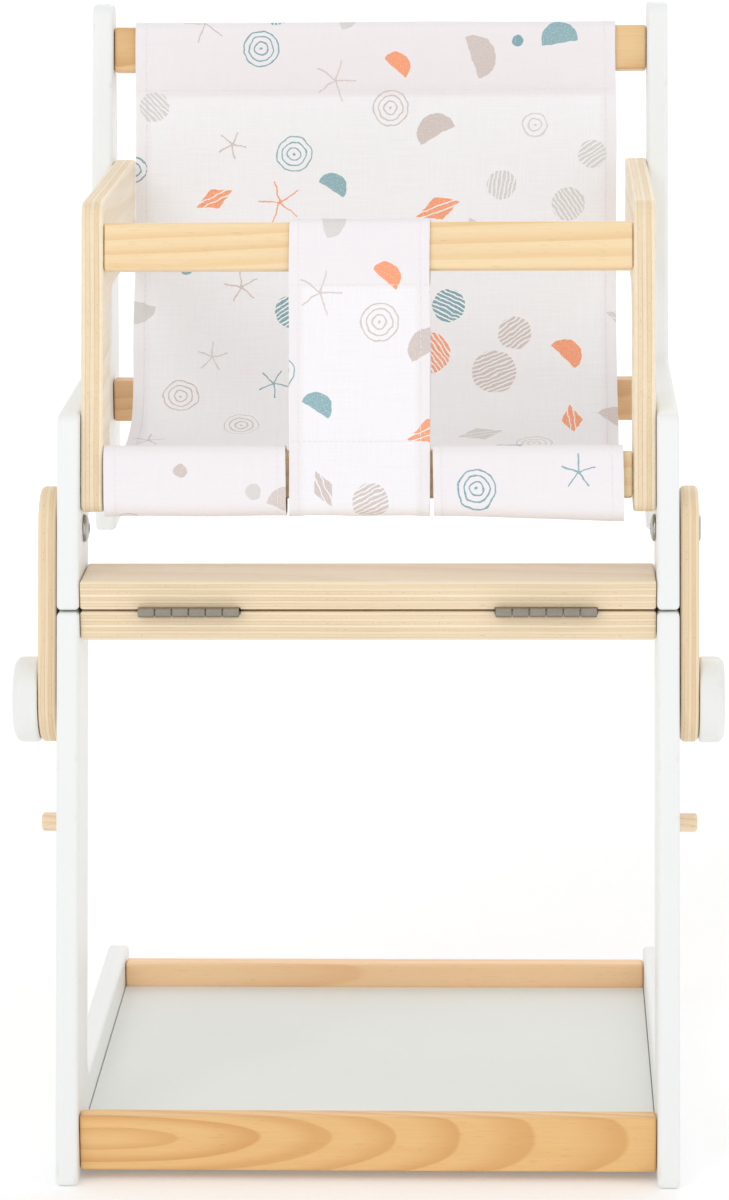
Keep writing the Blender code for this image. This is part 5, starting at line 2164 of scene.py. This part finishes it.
@dataclass
class Sling(Cloth):
    """Printed cloth that hangs on the top bar, passes the rear bar and runs round the front bar."""

    left: float = -0.12735
    right: float = 0.12315
    hem: float = 0.0068
    thick: float = 0.0014
    cell: Pair = (0.0022, 0.0024)
    notch_left: float = -0.0395
    notch_right: float = 0.0315
    notch_y: float = 0.1061
    sag: float = 0.017
    hem_bulk: float = 0.5
    belly: float = 0.0015
    droop: float = 0.0026
    past_rear_rail: Pair = (0.2605, 0.3586)
    tilt: float = ChairFrame().top_tilt

    def __post_init__(self) -> None:
        """Lay the line of the cloth and find the rows at which it is held."""
        on_top, on_front = BACK_TOP_RAIL.frame(self.tilt), SEAT_FRONT_RAIL.frame()
        line = smooth_line(self.profile(), self.cell[0])
        self.ribbon = Ribbon(line, self.columns(self.notch_left, self.notch_right), self.ease)
        self.seam = self.ribbon.nearest(on_top(*CASING_SEAM), self.ribbon.nearest(on_top(*OVER_THE_TOP[2])))
        self.rear = self.ribbon.nearest(Vector(self.past_rear_rail), self.seam)
        self.end = self.ribbon.nearest(on_front(*ROLL_START), self.rear)
        self.under = self.ribbon.nearest(on_front(*ROLL_LOW), self.end)
        self.notch_row = min(row for row in range(self.rear, len(line)) if line[row].x < self.notch_y)

    def profile(self) -> list[Vector]:
        """Line of the cloth in (y, z), from the lap behind the top casing to the lap under the front one.

        Returns:
            Its points.
        """
        on_top, on_front = BACK_TOP_RAIL.frame(self.tilt), SEAT_FRONT_RAIL.frame()
        start, past_rail, end = on_top(*CASING_SEAM), Vector(self.past_rear_rail), on_front(*ROLL_START)
        line = [on_top(*pair) for pair in (*CASING_LAP, *SAGGING_BACK, *OVER_THE_TOP, (-0.0072, 0.0))]
        bow = Vector((0.003, 0.0))
        line += [start, *(start.lerp(past_rail, share) + bow for share in (0.33, 0.67)), past_rail]
        depth, lowest = past_rail.x - end.x, end.y - self.sag
        for rise, places in ((past_rail.y - lowest, ((0.09, 0.40), (0.23, 0.10), (0.42, 0.0))),
                             (self.sag, ((0.66, 0.18), (0.86, 0.62)))):
            line += [Vector((past_rail.x - depth * along, lowest + rise * up)) for along, up in places]
        line += [end, *(on_front(*pair) for pair in ROLL)]
        return [*line, end + Vector((0.0065, -0.0052)), end + Vector((0.0125, -0.0085))]

    def ease(self, row: int, x: float) -> float:
        """Ease at the seams, the belly and the roll.

        Args:
            row: index along the profile.
            x: place across.

        Returns:
            The distance.
        """
        run, outward = self.ribbon.runs[row], self.ribbon.normals[row]
        if row <= self.seam:
            loose = max(0.0, -outward.y) + 0.7
            return 0.0005 * loose * (1 + ripple(x, run, 15, 30, 3.0))
        if row < self.end:
            seam, rear, end = self.seam, self.rear, self.end
            share = (row - seam) / (rear - seam) if row < rear else (row - rear) / (end - rear)
            held = math.sin(math.pi * min(share, 1.0))
            middle = math.cos(math.pi * (x - (self.left + self.right) / 2) / self.width)
            folds = 0.0008 * ripple(x, run, 13, 9, 1.0) + 0.0003 * ripple(x, run, 34, 16, 2.0)
            return -self.belly * middle * held + folds * min(1.0, 4 * held)
        rising = min(1.0, (row - self.end) / 6)
        droop = max(0.0, -outward.y) * self.droop * max(0.0, min(1.0, (x - 0.03) / 0.085)) ** 1.5
        swell = 0.0006 + 0.0011 * (0.5 + 0.5 * ripple(x, run, 34, 45, 5.0))
        return rising * (swell * (0.35 + max(0.0, -outward.x) * 0.65) + droop)

    def bulk(self, row: int, x: float) -> float:
        """Double casings and hems.

        Args:
            row: index along the profile.
            x: place across.

        Returns:
            From 0 to 1.
        """
        if row <= self.seam + 2 or row >= self.end:
            return 1.0
        return self.hem_bulk if self.in_hem(x) else 0.0

    def keep(self, row: int, x: float) -> bool:
        """Whether the cloth is there at a row and an x."""
        return row < self.notch_row or not self.notch_left < x < self.notch_right

    def seams(self) -> list[list[Vector]]:
        """Lines of the stitches, most of them on both faces.

        Returns:
            Points of each seam.
        """
        at, columns, lift = self.ribbon.at, self.ribbon.columns, self.thick / 2 + 0.00008
        lines = []
        for x in (self.left + self.hem - 0.0012, self.right - self.hem + 0.0012):
            for way in (lift, -lift):
                lines.append([at(row, x, way) for row in range(self.seam - 26, self.under + 8)])
        halves = ((self.left, self.notch_left), (self.notch_right, self.right))
        for row, parts in ((self.seam + 1, ((self.left, self.right),)), (self.end - 3, halves)):
            for start, stop in parts:
                part = [x for x in columns if start + 0.002 < x < stop - 0.002]
                lines += [[at(row, x, way) for x in part] for way in (lift, -lift)]
                if parts is halves:
                    edge = self.notch_left - 0.004 if stop == self.notch_left else self.notch_right + 0.004
                    lines.append([at(row, edge, lift) for row in range(self.notch_row + 2, self.under + 6)])
        return lines

    def build(self) -> None:
        """Make the cloth and its stitches."""
        made = self.ribbon.build("printed_sling", self.thick, self.bulk, self.keep)
        wide, long = self.width, self.ribbon.length
        dressed(made, Body.CHAIR, CLOTH, Lay(), "sling_cloth")
        self.sew("sling", self.seams())


@dataclass
class CrotchStrap(Cloth):
    """Strap of two layers that runs round the safety rail and round the front bar."""

    left: float = -0.038
    right: float = 0.030
    hem: float = 0.0055
    thick: float = 0.0011
    cell: Pair = (0.0021, 0.0022)
    side_bulk: float = 0.35

    def __post_init__(self) -> None:
        """Lay the line of the strap and find the rows at which it is sewn."""
        on_safety, on_front = SAFETY_RAIL.frame(), SEAT_FRONT_RAIL.frame()
        line = smooth_line(self.profile(), self.cell[0], closed=True)[:-1]
        self.ribbon = Ribbon(line, self.columns(), self.ease, True)
        crest = self.ribbon.nearest(on_safety(*OVER_THE_TOP[2]))
        self.safety_seam = self.ribbon.nearest(on_safety(-0.0073, -0.0195), crest)
        self.front_seam = self.ribbon.nearest(on_front(-0.0076, 0.0160), self.safety_seam)
        self.bottom = self.ribbon.nearest(on_front(*STRAP_LOW), self.front_seam)

    def profile(self) -> list[Vector]:
        """Closed line of the strap in (y, z), down its front and up behind it.

        Returns:
            Its points.
        """
        on_safety, on_front = SAFETY_RAIL.frame(), SEAT_FRONT_RAIL.frame()
        round_top = ((-0.0060, -0.0205), *SAGGING_BACK, *OVER_THE_TOP, (-0.0072, 0.0))
        line = [on_safety(*pair) for pair in round_top]
        start, end = on_safety(-0.0073, -0.0150), on_front(-0.0075, 0.0150)
        line += [start, *(start.lerp(end, share) for share in (0.33, 0.67))]
        line += [on_front(*pair) for pair in STRAP_LOOP]
        top, low = on_safety(-0.0061, -0.0260), on_front(-0.0063, 0.0220)
        return line + [low.lerp(top, share) for share in (0.0, 0.25, 0.5, 0.75, 1.0)]

    def ease(self, row: int, x: float) -> float:
        """Ease between the seams and in the loop.

        Args:
            row: index along the profile.
            x: place across.

        Returns:
            The distance.
        """
        run, outward = self.ribbon.runs[row], self.ribbon.normals[row]
        if self.safety_seam < row < self.front_seam:
            held = math.sin(math.pi * (row - self.safety_seam) / (self.front_seam - self.safety_seam))
            return 0.0006 * held * (1 + ripple(x, run, 22, 12, 8.0))
        if self.front_seam <= row < self.bottom + 12:
            low_part = max(0.0, -outward.y) + 0.3
            return 0.0008 * low_part * (1 + ripple(x, run, 30, 40, 9.0)) * min(1.0, (row - self.front_seam) / 5)
        return 0.0

    def bulk(self, row: int, x: float) -> float:
        """Double hems and upper loop.

        Args:
            row: index along the profile.
            x: place across.

        Returns:
            From 0 to 1.
        """
        return 1.0 if self.in_hem(x) or row <= self.safety_seam else self.side_bulk

    def build(self) -> None:
        """Make the strap and its stitches."""
        made = self.ribbon.build("printed_strap", self.thick, self.bulk, lambda row, x: True)
        long = self.ribbon.length
        dressed(made, Body.CHAIR, CLOTH, Lay(), "crotch_strap")
        at, lift = self.ribbon.at, self.thick / 2 + 0.00006
        lines = []
        for x in (self.left + self.hem - 0.001, self.right - self.hem + 0.001):
            lines.append([at(row, x, lift) for row in range(self.safety_seam - 18, self.bottom + 6)])
        across = [x for x in self.ribbon.columns if self.left + 0.0015 < x < self.right - 0.0015]
        lines += [[at(row, x, lift) for x in across] for row in (self.safety_seam, self.front_seam)]
        self.sew("strap", lines, pitch=0.0026, length=0.002)


# Studio


@dataclass(frozen=True)
class Lamp:
    """Square lamp that looks at the chair."""

    name: str
    place: Triple
    size: float
    power: float

    def build(self, target: Vector) -> None:
        """Make the lamp, turned to the target.

        Args:
            target: where it looks.
        """
        lamp = bpy.data.lights.new(self.name, "AREA")
        lamp.size, lamp.energy = self.size, self.power
        made = linked(self.name, lamp)
        made.location = self.place
        made.rotation_euler = (target - Vector(self.place)).to_track_quat("-Z", "Y").to_euler()


@dataclass
class Studio:
    """Pale floor, soft lamps and the camera at the photograph's viewing angle."""

    camera_place: Triple = (0.077, -2.1625, 0.724)
    lens: float = 132.0
    sensor: float = 36.0
    pitch: float = 12.25
    yaw: float = 2.17
    roll: float = 0.48
    target: Triple = (0.0, 0.0, 0.28)
    world_level: float = 0.8
    floor_radius: float = 14.0
    clear_floor: float = 0.4
    white_floor: float = 2.5
    near_glow: float = 0.13
    far_glow: float = 0.3
    lamps: tuple[Lamp, ...] = (
        Lamp("key_lamp", (-1.1, -1.7, 1.7), 1.1, 6.5),
        Lamp("fill_lamp", (1.6, -1.3, 1.0), 1.4, 2.6),
        Lamp("rim_lamp", (0.3, 1.7, 1.6), 1.2, 5.0),
    )

    def floor(self) -> None:
        """Make the floor, one wide disc."""
        shape = bmesh.new()
        bmesh.ops.create_circle(shape, cap_ends=True, segments=96, radius=self.floor_radius)
        made = object_of("studio_floor", shape)
        paper = bpy.data.materials.new("studio_paper")
        paper.use_nodes = True
        shader = paper.node_tree.nodes["Principled BSDF"]
        w = Wiring(paper.node_tree)
        place = w.node("ShaderNodeTexCoord").outputs["Object"]
        tone = w.level(place, 3.0, 2)
        w.feed(shader.inputs["Base Color"], w.blend(tone, (252, 252, 252), (249, 249, 249)))
        away = w.vector("LENGTH", place)
        glow = w.ramp(away, self.clear_floor, self.white_floor, self.near_glow, self.far_glow)
        w.feed(shader.inputs["Emission Color"], w.join(glow, glow, glow))
        shader.inputs["Emission Strength"].default_value = 1.0
        shader.inputs["Roughness"].default_value = 0.9
        shader.inputs["Specular IOR Level"].default_value = 0.1
        made.data.materials.append(paper)

    def world(self) -> None:
        """Make the world, which is white where it is seen and dimmer as a light."""
        world = bpy.data.worlds.new("studio_world")
        bpy.context.scene.world = world
        world.use_nodes = True
        w = Wiring(world.node_tree)
        back = world.node_tree.nodes["Background"]
        path = w.node("ShaderNodeLightPath")
        seen = w.maths("MAXIMUM", path.outputs["Is Camera Ray"], path.outputs["Is Glossy Ray"])
        seen = w.maths("MAXIMUM", seen, path.outputs["Is Transmission Ray"])
        w.feed(back.inputs["Strength"], w.times_plus(seen, 1.0 - self.world_level, self.world_level))
        back.inputs["Color"].default_value = (1.0, 1.0, 1.0, 1.0)

    def camera(self) -> None:
        """Make the camera."""
        data = bpy.data.cameras.new("studio_camera")
        data.sensor_fit, data.sensor_height, data.lens = "VERTICAL", self.sensor, self.lens
        data.clip_start, data.clip_end = 0.05, 60.0
        made = linked("studio_camera", data)
        turn = Matrix.Translation(self.camera_place)
        for degrees, axis in ((self.yaw, "Z"), (90 - self.pitch, "X"), (-self.roll, "Z")):
            turn = turn @ Matrix.Rotation(math.radians(degrees), 4, axis)
        made.matrix_world = turn
        bpy.context.scene.camera = made

    def build(self) -> None:
        """Make all of it, with the plain view of colours."""
        self.floor()
        self.world()
        for lamp in self.lamps:
            lamp.build(Vector(self.target))
        self.camera()
        bpy.context.scene.view_settings.view_transform = "Standard"


def main() -> None:
    """Dress the model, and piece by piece."""
    logging.basicConfig(level=logging.INFO, format="%(message)s")
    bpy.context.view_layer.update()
    Studio().build()
    Stand().build()
    ChairFrame().build()
    for side in Side:
        ButtHinge(side).build()
        LinkAndKnob(side).build()
    Sling().build()
    CrotchStrap().build()


if __name__ == "__main__":
    main()
